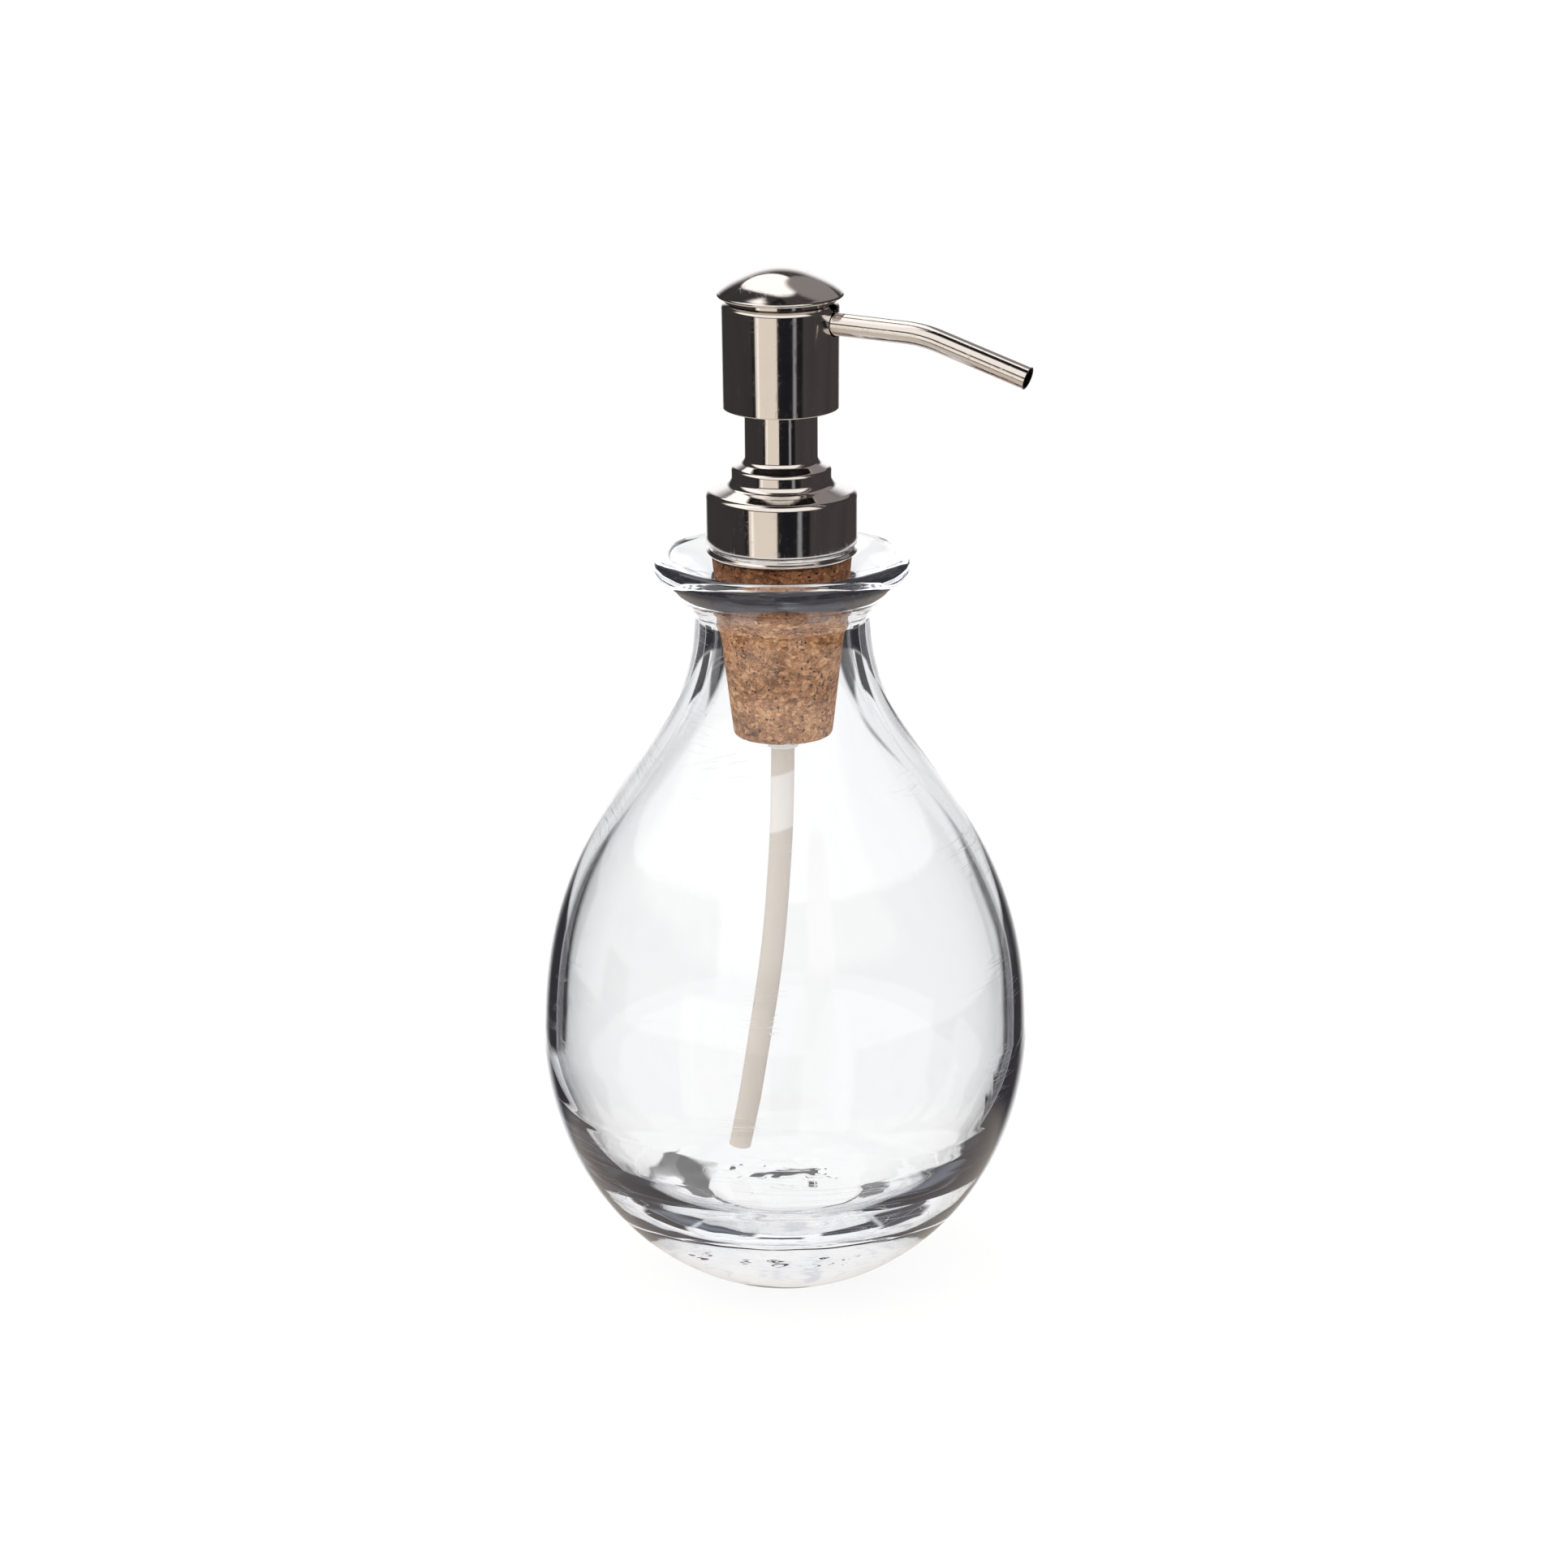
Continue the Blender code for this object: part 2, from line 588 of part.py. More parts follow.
def stem():
    """Hollow stem from the piston to the head. Its bored top is the outlet ball's seat."""
    outline = rounded([
        (STEM_RADIUS, RETAINER_TOP - 3.1, 0.2),
        (STEM_RADIUS, STEM_STOP_BASE),
        (STEM_RADIUS + 1.8, STEM_STOP_BASE),
        (STEM_RADIUS + 1.8, STEM_STOP_TOP, 0.3),
        (STEM_RADIUS, STEM_STOP_TOP),
        (STEM_RADIUS, STEM_TOP, 0.3),
        (STEM_BORE, STEM_TOP, 0.2),
        (STEM_BORE, RETAINER_TOP - 3.1),
    ])
    return plastic(turned("stem", outline), 0.85)


def actuator_core():
    """Plastic core of the head: socket for the stem, outlet ball chamber and socket for the spout."""
    rim = SKIRT_RADIUS - HEAD_WALL - GAP
    top = SHELL_TOP - 0.2
    ledge = SPOUT_HEIGHT + 1.0
    chamber = OUTLET_BALL_RADIUS + GAP
    chamber_top = STEM_TOP + 2 * OUTLET_BALL_RADIUS + OUTLET_LIFT + 2 * GAP
    outline = rounded([
        (STEM_RADIUS + GAP, BOSS_BASE),
        (STEM_RADIUS + 2.4, BOSS_BASE, 0.4),
        (STEM_RADIUS + 2.4, CORE_BASE),
        (STEM_RADIUS + 3.6, CORE_BASE + 1.8),
        (rim - 1.6, CORE_BASE + 1.8),
        (rim - 1.6, CORE_BASE),
        (rim, CORE_BASE, 0.3),
        (rim, ledge),
        (rim - 1.8, ledge),
        (rim - 1.8, top, 0.3),
        (0, top),
        (0, chamber_top),
        (chamber, chamber_top),
        (chamber, STEM_TOP + GAP),
        (STEM_RADIUS + GAP, STEM_TOP + GAP),
    ])
    core = turned("actuator_core", outline)
    socket_end = chamber + SOCKET_END
    channel = SPOUT_RADIUS - SPOUT_WALL - GAP
    bore = turned("spout_socket", [
        (0, 0), (channel, 0), (channel, socket_end), (SPOUT_RADIUS + GAP, socket_end),
        (SPOUT_RADIUS + GAP, HEAD_TOP_RADIUS), (0, HEAD_TOP_RADIUS),
    ], 24)
    cut(core, along_spout(bore))
    return plastic(core, 0.3)


def head_shell():
    """Steel skirt of the head, with a keyhole: a round hole for the spout and a slot up to the rim."""
    outline = rounded([
        (SKIRT_RADIUS - HEAD_WALL, SKIRT, 0.2),
        (SKIRT_RADIUS, SKIRT, 0.2),
        (HEAD_TOP_RADIUS, SHELL_TOP, 1.3),
        (HEAD_TOP_RADIUS - MOUTH_LIP, SHELL_TOP),
        (HEAD_TOP_RADIUS - MOUTH_LIP, SHELL_TOP - HEAD_WALL),
        (HEAD_TOP_RADIUS - HEAD_WALL, SHELL_TOP - 2 * HEAD_WALL),
    ])
    shell = turned("head_shell", outline, WIDE_SIDES)
    hole = turned("spout_hole", [
        (0, 0), (SPOUT_RADIUS + GAP, 0), (SPOUT_RADIUS + GAP, 2 * HEAD_TOP_RADIUS),
        (0, 2 * HEAD_TOP_RADIUS),
    ], 24)
    cut(shell, along_spout(hole))
    bm = bmesh.new()
    bmesh.ops.create_cube(bm, size=1.0)
    size = (2 * HEAD_TOP_RADIUS * MM, SLOT_WIDTH * MM, 2 * (SHELL_TOP - SPOUT_HEIGHT) * MM)
    bmesh.ops.scale(bm, verts=bm.verts, vec=size)
    slot = added("spout_slot", bm)
    slot.location = (HEAD_TOP_RADIUS * MM, 0, SHELL_TOP * MM)
    cut(shell, slot)
    return steel(shell)


def dome_cap():
    """Domed cap. Its edge overhangs the shell and its spigot presses into the shell's mouth."""
    edge = SHELL_TOP + CAP_EDGE_RISE
    curve = (CAP_RADIUS**2 + CAP_RISE**2) / (2 * CAP_RISE)
    centre = (0, edge + CAP_RISE - curve)
    spread = degrees(asin(CAP_RADIUS / curve))
    spigot = HEAD_TOP_RADIUS - MOUTH_LIP - GAP
    foot = SPOUT_HEIGHT + SPOUT_RADIUS + 2 * GAP
    inner = curve - CAP_WALL
    inner_spread = degrees(asin((spigot - SPIGOT_WALL) / inner))
    outline = [(0, edge + CAP_RISE - CAP_WALL)]
    outline += arc(centre, inner, 90, 90 - inner_spread, 6)[1:]
    outline += [
        (spigot - SPIGOT_WALL, foot), (spigot, foot), (spigot, SHELL_TOP + GAP),
        (CAP_BAND_RADIUS, SHELL_TOP + GAP), (CAP_BAND_RADIUS, edge - 0.7),
        (CAP_RADIUS - 0.25, edge - 0.35),
    ]
    outline += arc(centre, curve, 90 - spread, 90, 8)[:-1]
    outline += [(0, edge + CAP_RISE)]
    return steel(turned("dome_cap", outline, WIDE_SIDES))


def spout_tube():
    """Bent steel tube: nearly level out of the head, then drooping to its open tip."""
    first = Vector((cos(SPOUT_FALL), -sin(SPOUT_FALL)))
    second = Vector((cos(SPOUT_DROOP), -sin(SPOUT_DROOP)))
    source = Vector((0, SPOUT_HEIGHT))
    corner = source + first * SPOUT_BEND_AT / first.x
    tip = corner + second * (SPOUT_TIP_AT - SPOUT_BEND_AT) / second.x
    reach = SPOUT_BEND_RADIUS * tan((SPOUT_DROOP - SPOUT_FALL) / 2)
    centre = corner - first * reach + Vector((first.y, -first.x)) * SPOUT_BEND_RADIUS
    path = [source + first * (OUTLET_BALL_RADIUS + SOCKET_END + 2 * GAP)]
    path += arc(centre, SPOUT_BEND_RADIUS, 90 - degrees(SPOUT_FALL), 90 - degrees(SPOUT_DROOP), 6)
    path += [tip]
    return steel(swept_tube("spout_tube", path, SPOUT_RADIUS, SPOUT_RADIUS - SPOUT_WALL, 24))


def dip_tube():
    """Polythene tube from the housing's nipple to near the floor. It has taken a slight bend."""
    top = (0, THROAT - 1.4 - GAP)
    end = (TUBE_RADIUS + TUBE_NECK_CLEARANCE - BORE_RADIUS, FLOOR_THICKNESS + TUBE_FLOOR_CLEARANCE)
    length = top[1] - end[1]
    start_pull = (0, top[1] - 0.48 * length)
    end_pull = (0.53 * end[0], end[1] + 0.27 * length)
    path = [Vector(top)] + bezier(top, start_pull, end_pull, end, 22)
    tube = swept_tube("dip_tube", path, TUBE_RADIUS, TUBE_RADIUS - TUBE_WALL, 16)
    return painted(tube, (0.8, 0.77, 0.72), 0.35)


def inlet_ball():
    return painted(ball("inlet_ball", INLET_BALL_RADIUS, INLET_BALL_HEIGHT), (0.6, 0.6, 0.6), 0.15, 1.0)


def outlet_ball():
    lift = sqrt((OUTLET_BALL_RADIUS + GAP / 2) ** 2 - (STEM_BORE + 0.2) ** 2)
    seat = STEM_TOP + lift
    return painted(ball("outlet_ball", OUTLET_BALL_RADIUS, seat), (0.6, 0.6, 0.6), 0.15, 1.0)


def group(name, height, pieces):
    """Parents pieces that move together to an empty on their joint's axis."""
    frame = bpy.data.objects.new(name, None)
    frame.location = (0, 0, height * MM)
    bpy.context.scene.collection.objects.link(frame)
    bpy.context.view_layer.update()
    for piece in pieces:
        piece.parent = frame
        piece.matrix_parent_inverse = frame.matrix_world.inverted()
    return frame


def main():
    clear_scene()
    glass_bottle()
    pump = group("pump_group", SEAT, [
        cork_stopper(), cork_bushing(), gasket(), closure(), collar_shell(), pump_housing(),
        chaplet(), sleeve_bush(), ball_cage(), return_spring(), dip_tube(), inlet_ball(),
    ])
    head = group("head_group", SKIRT, [actuator_core(), head_shell(), dome_cap(), spout_tube()])
    plunger = group("plunger_group", PISTON_BASE, [stem(), piston(), retainer(), outlet_ball(), head])
    group("lifting_group", CORK_BOTTOM, [pump, plunger])


main()
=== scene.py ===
# %% [markdown]
# # A soap pump dispenser
#
# A round-bellied glass bottle, a tapered cork and a lotion pump with a polished steel collar,
# head and spout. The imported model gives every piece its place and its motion. This lesson turns
# it into a finished look: the pieces that show are made again with many more faces, and every
# piece gets a finish made of nodes.
#
# Sizes are written in millimetres and multiplied by MM where a mesh is made, because small
# round numbers are easier to read than long decimals.

import json
from math import asin, cos, degrees, exp, pi, radians, sin, tan

import bmesh
import bpy
import numpy as np
from mathutils import Matrix, Quaternion, Vector, noise


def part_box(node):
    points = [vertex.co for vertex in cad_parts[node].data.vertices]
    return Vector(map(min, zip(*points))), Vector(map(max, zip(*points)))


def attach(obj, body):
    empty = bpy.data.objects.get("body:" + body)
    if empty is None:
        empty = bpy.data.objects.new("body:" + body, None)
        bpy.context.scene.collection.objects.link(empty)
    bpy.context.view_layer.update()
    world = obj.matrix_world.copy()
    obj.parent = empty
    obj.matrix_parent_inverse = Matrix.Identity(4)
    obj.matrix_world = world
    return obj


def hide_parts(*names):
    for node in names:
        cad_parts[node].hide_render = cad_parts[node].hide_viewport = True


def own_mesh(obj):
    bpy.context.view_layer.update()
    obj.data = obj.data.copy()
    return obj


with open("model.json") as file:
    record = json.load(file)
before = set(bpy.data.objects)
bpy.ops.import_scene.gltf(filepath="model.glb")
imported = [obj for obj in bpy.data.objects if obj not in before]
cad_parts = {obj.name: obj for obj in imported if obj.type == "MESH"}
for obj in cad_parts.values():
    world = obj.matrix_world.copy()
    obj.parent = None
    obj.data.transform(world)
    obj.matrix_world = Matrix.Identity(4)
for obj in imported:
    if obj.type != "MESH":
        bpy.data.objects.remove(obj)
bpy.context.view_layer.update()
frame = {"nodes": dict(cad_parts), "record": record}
nodes = frame["nodes"]
MM = 0.001
print("CAD nodes:", ", ".join(sorted(nodes)))


# %% [markdown]
# ## The camera
#
# The lens is long, about 140 mm, so the bottle is seen from over a metre away and its far side
# is hardly smaller than its near side. The camera stands to the left of the spout's line, a
# little above the pump, and looks at the bottle's shoulder. It could also be placed by hand and
# turned until it looks right; two angles and a distance are easier to check and to repeat.

# %% Place the camera by two angles and a distance
VIEW_TURN = radians(24.0)
VIEW_RISE = radians(17.0)
VIEW_ROLL = radians(0.38)
VIEW_DISTANCE = 1.3
AIM = Vector((0, 0, 0.10838))

toward_camera = Vector((
    sin(VIEW_TURN) * cos(VIEW_RISE), -cos(VIEW_TURN) * cos(VIEW_RISE), sin(VIEW_RISE)
))
lens = bpy.data.cameras.new("camera")
lens.sensor_width = 36.0
lens.lens = 140.5
lens.clip_start = 0.01
camera = bpy.data.objects.new("camera", lens)
camera.location = AIM + toward_camera * VIEW_DISTANCE
camera.rotation_mode = "QUATERNION"
roll = Quaternion((0, 0, 1), -VIEW_ROLL)
camera.rotation_quaternion = toward_camera.to_track_quat("Z", "Y") @ roll
bpy.context.scene.collection.objects.link(camera)
bpy.context.scene.camera = camera
print("camera at", [round(value, 3) for value in camera.location])


# %% [markdown]
# ## Small helpers for node trees
#
# A finish is a tree of nodes. A few short functions keep the trees readable: one adds a node and
# fills its sockets, one does arithmetic, and others make soft-edged masks and mix colours. A
# socket knows which tree it is in, so a sum finds its tree by itself.

# %% Node helpers
def put(tree, kind, inputs=None, **settings):
    """Adds a node. inputs maps a socket's name or number to a value or to another socket."""
    made = tree.nodes.new(kind)
    for name, value in settings.items():
        setattr(made, name, value)
    for name, value in (inputs or {}).items():
        if isinstance(value, bpy.types.NodeSocket):
            tree.links.new(value, made.inputs[name])
        else:
            made.inputs[name].default_value = value
    return made


def tree_of(*values):
    """The tree that holds the sockets among these values."""
    return next(value.id_data for value in values if isinstance(value, bpy.types.NodeSocket))


def calc(operation, *values):
    tree = tree_of(*values)
    return put(tree, "ShaderNodeMath", dict(enumerate(values)), operation=operation).outputs[0]


def plus(first, second):
    return calc("ADD", first, second)


def minus(first, second):
    return calc("SUBTRACT", first, second)


def times(first, second):
    return calc("MULTIPLY", first, second)


def invert(value):
    """1 where value is 0, and 0 where it is 1."""
    return minus(1.0, value)


def step_at(value, start, end):
    """Rises softly from 0 to 1 as value goes from start to end."""
    inputs = {"Value": value, "From Min": start, "From Max": end}
    made = put(value.id_data, "ShaderNodeMapRange", inputs, interpolation_type="SMOOTHSTEP")
    return made.outputs["Result"]


def window(value, low, high, soft):
    """1 between low and high, 0 outside, with soft edges."""
    opens = step_at(value, low - soft, low + soft)
    closes = step_at(value, high - soft, high + soft)
    return minus(opens, closes)


def blend_colour(share, first, second, mode="MIX"):
    tree = tree_of(share, first, second)
    inputs = {0: share, 6: first, 7: second}
    return put(tree, "ShaderNodeMix", inputs, data_type="RGBA", blend_type=mode).outputs[2]


def colour(red, green, blue):
    return (red, green, blue, 1.0)


def in_scene(name, data):
    """A new object, in the scene."""
    made = bpy.data.objects.new(name, data)
    bpy.context.scene.collection.objects.link(made)
    return made


# %% [markdown]
# ## Studio light
#
# Polished steel and clear glass have almost no colour of their own: what is seen on them is the
# room. In a studio that room is built from white cards, soft boxes and black flags. Here the
# world's shader is that room. It is written by direction: how far round from the camera, and how
# high. Each kind of ray may see its own version, as a studio does with cards that stand just
# outside the frame: the camera and matt surfaces see plain white, polished metal sees the soft
# boxes and the dark studio, and clear glass sees white behind it with dark flags on both sides.
# Lamps could do this too, but a world has no edges that might come into view.

# %% Directions in the room
world = bpy.data.worlds.new("studio")
world.use_nodes = True
world.cycles.sampling_method = "NONE"
bpy.context.scene.world = world
bpy.context.scene.view_settings.view_transform = "Standard"
room = world.node_tree
room.nodes.clear()
looking = put(room, "ShaderNodeTexCoord").outputs["Generated"]


def along(direction):
    return put(
        room, "ShaderNodeVectorMath", {0: looking, 1: direction}, operation="DOT_PRODUCT"
    ).outputs["Value"]


rightward = along((cos(VIEW_TURN), sin(VIEW_TURN), 0))
forward = along((sin(VIEW_TURN), -cos(VIEW_TURN), 0))
upward = along((0, 0, 1))
around = times(calc("ARCTAN2", rightward, forward), 180 / pi)
height = times(calc("ARCSINE", upward), 180 / pi)
from_front = calc("ABSOLUTE", around)
print("the room is written in degrees round from the camera and degrees up")


# %% What polished metal sees
def room_patch(below, tint, *masks):
    """Lays a tint over what is there, where all the masks are 1."""
    share = masks[0]
    for mask in masks[1:]:
        share = times(share, mask)
    return blend_colour(share, below, tint)


def ceiling_light(across, back, tilt, length, width):
    """An oval soft box on the ceiling, placed by where a line from the pump meets the ceiling."""
    over = calc("MAXIMUM", upward, 0.001)
    x = minus(calc("DIVIDE", rightward, over), across)
    y = minus(calc("DIVIDE", times(forward, -1.0), over), back)
    turned_x = plus(times(x, cos(tilt)), times(y, sin(tilt)))
    turned_y = minus(times(y, cos(tilt)), times(x, sin(tilt)))
    reach = plus(
        calc("POWER", calc("ABSOLUTE", calc("DIVIDE", turned_x, length)), 2.2),
        calc("POWER", calc("ABSOLUTE", calc("DIVIDE", turned_y, width)), 2.2),
    )
    lit = invert(step_at(reach, 0.8, 1.15))
    return times(lit, step_at(upward, 0.02, 0.1))


mottle = put(room, "ShaderNodeTexNoise", {"Vector": looking, "Scale": 2.6, "Detail": 2.0})
dark_left = blend_colour(
    mottle.outputs["Fac"], colour(0.032, 0.029, 0.029), colour(0.052, 0.047, 0.046)
)
dark_right = blend_colour(
    mottle.outputs["Fac"], colour(0.042, 0.037, 0.037), colour(0.070, 0.062, 0.061)
)
metal_room = blend_colour(step_at(around, 40.0, 46.0), dark_left, dark_right)
depth = times(height, -1.0)
PATCHES = (
    (colour(0.012, 0.012, 0.014), window(around, -58.0, 43.0, 3.0)),
    (
        colour(1.15, 1.15, 1.16),
        step_at(from_front, 150.0, 166.0), invert(step_at(height, 17.0, 38.0)),
    ),
    (colour(0.84, 0.75, 0.65), window(around, -50.5, -7.0, 0.8), window(height, -27.0, 5.0, 1.5)),
    (colour(1.15, 1.08, 1.0), window(around, -46.5, -43.0, 0.8), window(height, -22.0, 5.0, 1.5)),
    (colour(0.30, 0.30, 0.31), window(around, 24.0, 30.0, 2.0), window(height, -27.0, 8.0, 3.0)),
    (colour(1.35, 1.28, 1.24), ceiling_light(-0.20, 0.72, radians(118), 0.72, 0.36)),
    (colour(0.26, 0.235, 0.23), ceiling_light(0.8, 1.05, radians(55), 1.0, 0.5)),
    (
        colour(1.25, 1.19, 1.14),
        window(height, 22.0, 74.0, 4.0), window(around, -104.0, -52.0, 8.0),
    ),
    (colour(1.05, 0.99, 0.93), window(height, 16.0, 62.0, 5.0), window(around, -56.0, 62.0, 6.0)),
    (colour(0.62, 0.55, 0.48), step_at(depth, 25.0, 30.0)),
    (colour(0.20, 0.165, 0.145), step_at(depth, 58.0, 70.0)),
)
for tint, *masks in PATCHES:
    metal_room = room_patch(metal_room, tint, *masks)
print("metal sees", sum(node.type == "MIX" for node in room.nodes), "blends")


# %% What clear glass sees, and the switch between the three rooms
def away_from(angle):
    """Degrees round from a direction, 0 to 180."""
    shifted = calc("FLOORED_MODULO", minus(around, angle - 540.0), 360.0)
    return calc("ABSOLUTE", minus(shifted, 180.0))


swirl = put(room, "ShaderNodeTexNoise", {"Vector": looking, "Scale": 7.0, "Detail": 3.0})
glass_room = blend_colour(
    mottle.outputs["Fac"], colour(0.95, 0.955, 0.965), colour(1.07, 1.07, 1.07)
)
glass_room = room_patch(
    glass_room, colour(0.76, 0.78, 0.84), step_at(height, 4.0, 9.0),
    step_at(swirl.outputs["Fac"], 0.52, 0.62),
)

# A dark ring below eye level gives the heel its dark wedges. White doors in it, each a middle, a
# half width and perhaps a height it stays below, in degrees, leave the floor of the bottle clear.
FLAG = colour(0.030, 0.029, 0.034)
ring = window(height, -42.0, -8.0, 0.8)
DOORS = ((180.0, 13.0, None), (21.0, 13.0, None), (201.0, 12.0, -21.5))
for middle, width, top in DOORS:
    door = invert(step_at(away_from(middle), width - 1.5, width + 1.5))
    if top is not None:
        door = times(door, invert(step_at(height, top - 1, top + 1)))
    ring = times(ring, invert(door))
glass_room = room_patch(glass_room, FLAG, ring)

# Two pairs of flags at eye level draw the glass's edges when it is seen level from other sides.
for middle in (246.0, 156.0):
    flag = window(away_from(middle), 13.0, 30.0, 1.5)
    glass_room = room_patch(glass_room, FLAG, flag, window(height, -8.0, 5.0, 0.8))
slit = window(from_front, 144.0, 145.5, 0.8)
glass_room = room_patch(glass_room, colour(0.75, 0.76, 0.80), times(slit, 0.7))

rays = put(room, "ShaderNodeLightPath")
WHITE = colour(1.0, 1.0, 1.0)
from_left = plus(times(rightward, -0.36), times(forward, 0.16))
soft_box = plus(1.0, plus(from_left, times(upward, 0.26)))
soft_light = blend_colour(1.0, colour(1.0, 0.995, 0.985), soft_box, "MULTIPLY")
seen = blend_colour(rays.outputs["Is Diffuse Ray"], WHITE, soft_light)
seen = blend_colour(rays.outputs["Is Glossy Ray"], seen, metal_room)
seen = blend_colour(rays.outputs["Is Transmission Ray"], seen, glass_room)
background = put(room, "ShaderNodeBackground", {"Color": seen, "Strength": 1.0})
put(room, "ShaderNodeOutputWorld", {"Surface": background.outputs[0]})
print("world:", len(room.nodes), "nodes")


# %% [markdown]
# ## The floor
#
# The bottle stands on a white sweep that runs out of sight. It only has to be white and catch
# a faint shadow, so it is one large plane. It is left out of reflections and of what glass
# bends, because there the studio room above already says what is below.

# %% Floor
floor_mesh = bpy.data.meshes.new("studio_floor")
FLOOR_REACH = 6.0
floor_mesh.from_pydata(
    [
        (-FLOOR_REACH, -FLOOR_REACH, 0), (FLOOR_REACH, -FLOOR_REACH, 0),
        (FLOOR_REACH, FLOOR_REACH, 0), (-FLOOR_REACH, FLOOR_REACH, 0),
    ],
    [], [(0, 1, 2, 3)],
)
floor = in_scene("studio_floor", floor_mesh)
floor.visible_glossy = False
floor.visible_transmission = False
paper = bpy.data.materials.new("white_sweep")
paper.use_nodes = True
paper_nodes = paper.node_tree
grain = put(paper_nodes, "ShaderNodeTexNoise", {"Scale": 900.0, "Detail": 3.0})
tone = blend_colour(grain.outputs["Fac"], colour(0.93, 0.93, 0.935), colour(0.95, 0.95, 0.95))
sheet = paper_nodes.nodes["Principled BSDF"]
sheet.inputs["Roughness"].default_value = 0.9
sheet.inputs["Specular IOR Level"].default_value = 0.0
paper_nodes.links.new(tone, sheet.inputs["Base Color"])
floor_mesh.materials.append(paper)
print("floor:", 2 * FLOOR_REACH, "m across")


# %% [markdown]
# ## Outlines
#
# Nearly every piece is round, so its shape is one outline of (radius, height) points. An
# outline is made of straight runs, arcs and smooth curves. `rounded` takes corners and puts an
# arc in each one, as a press tool does; `curve` draws a smooth bend by two pulls.

# %% Outline helpers
def arc(centre, radius, start, end, steps):
    """Points round an arc or, with a pair of radii, an ellipse. Angles are in degrees."""
    wide, high = radius if isinstance(radius, tuple) else (radius, radius)
    turns = [radians(start + (end - start) * step / steps) for step in range(steps + 1)]
    return [Vector((centre[0] + wide * cos(t), centre[1] + high * sin(t))) for t in turns]


def curve(start, start_pull, end_pull, end, steps):
    """Points along a cubic curve, without its first one."""
    knots = [Vector(knot) for knot in (start, start_pull, end_pull, end)]
    points = []
    for step in range(1, steps + 1):
        t = step / steps
        shares = ((1 - t) ** 3, 3 * (1 - t) ** 2 * t, 3 * (1 - t) * t**2, t**3)
        points.append(sum((knot * share for knot, share in zip(knots, shares)), Vector((0, 0))))
    return points


def rounded(corners, steps=6):
    """Corners (radius, height) or (radius, height, fillet), with each fillet as an arc."""
    points = []
    for index, corner in enumerate(corners):
        here = Vector(corner[:2])
        if len(corner) == 2:
            points.append(here)
            continue
        back = (Vector(corners[index - 1][:2]) - here).normalized()
        ahead = (Vector(corners[(index + 1) % len(corners)][:2]) - here).normalized()
        half = back.angle(ahead) / 2
        centre = here + (back + ahead).normalized() * corner[2] / sin(half)
        first = here + back * corner[2] / tan(half) - centre
        last = here + ahead * corner[2] / tan(half) - centre
        for step in range(steps + 1):
            points.append(centre + first.lerp(last, step / steps).normalized() * corner[2])
    return points


def divided(points, longest, loop=True):
    """Adds points so that no straight run is longer than that."""
    ends = points[1:] + points[:1] if loop else points[1:]
    finer = []
    for start, end in zip(points, ends):
        parts = max(1, int((end - start).length / longest + 0.999))
        finer += [start.lerp(end, part / parts) for part in range(parts)]
    return finer if loop else finer + [points[-1]]


print("outline helpers ready")


# %% [markdown]
# ## A lathe made of Geometry Nodes
#
# A lathe follows one rule: every point of the outline goes round the axis. Geometry Nodes can
# say just that. The tree makes a flat grid with one row for each outline point and one column
# for each step round, then moves every grid point to its place: the row picks the outline
# point, the column gives the angle. Points that land on each other, at the seam and on the
# axis, are merged. The Screw modifier would also do, but this way shows how fields work, and
# the same tree makes every round piece.

# %% The lathe tree
def number_inputs(tree, **defaults):
    """Adds named number inputs, whole or decimal by their default, after the geometry input."""
    tree.interface.new_socket("Geometry", in_out="INPUT", socket_type="NodeSocketGeometry")
    for name, default in defaults.items():
        kind = "NodeSocketInt" if isinstance(default, int) else "NodeSocketFloat"
        socket = tree.interface.new_socket(
            name.replace("_", " ").title(), in_out="INPUT", socket_type=kind
        )
        socket.default_value = default
    socket = tree.interface.new_socket("Material", in_out="INPUT", socket_type="NodeSocketMaterial")
    tree.interface.new_socket("Geometry", in_out="OUTPUT", socket_type="NodeSocketGeometry")


def finish_tree(tree, given, geometry):
    """Ends a tree: real geometry with its material."""
    real = put(tree, "GeometryNodeRealizeInstances", {"Geometry": geometry})
    inputs = {"Geometry": real.outputs[0], "Material": given["Material"]}
    dressed = put(tree, "GeometryNodeSetMaterial", inputs)
    put(tree, "NodeGroupOutput", {"Geometry": dressed.outputs[0]})


lathe = bpy.data.node_groups.new("lathe", "GeometryNodeTree")
number_inputs(lathe, points=2, sides=8, merge_distance=1e-7)
given = put(lathe, "NodeGroupInput").outputs
columns = plus(given["Sides"], 1.0)
grid = put(lathe, "GeometryNodeMeshGrid", {"Vertices X": given["Points"], "Vertices Y": columns})
index = put(lathe, "GeometryNodeInputIndex").outputs[0]
row = calc("FLOOR", calc("DIVIDE", plus(index, 0.5), columns))
column = minus(index, times(row, columns))
turn = times(calc("DIVIDE", column, given["Sides"]), 2 * pi)
here = put(lathe, "GeometryNodeInputPosition").outputs[0]
picked = put(
    lathe, "GeometryNodeSampleIndex", {"Geometry": given["Geometry"], "Index": row},
    data_type="FLOAT_VECTOR",
)
lathe.links.new(here, picked.inputs["Value"])
outline_point = put(lathe, "ShaderNodeSeparateXYZ", {0: picked.outputs[0]}).outputs
placed = put(lathe, "ShaderNodeCombineXYZ", {
    "X": times(outline_point["X"], calc("COSINE", turn)),
    "Y": times(outline_point["X"], calc("SINE", turn)),
    "Z": outline_point["Z"],
}).outputs[0]
spun = put(lathe, "GeometryNodeSetPosition", {"Geometry": grid.outputs["Mesh"], "Position": placed})
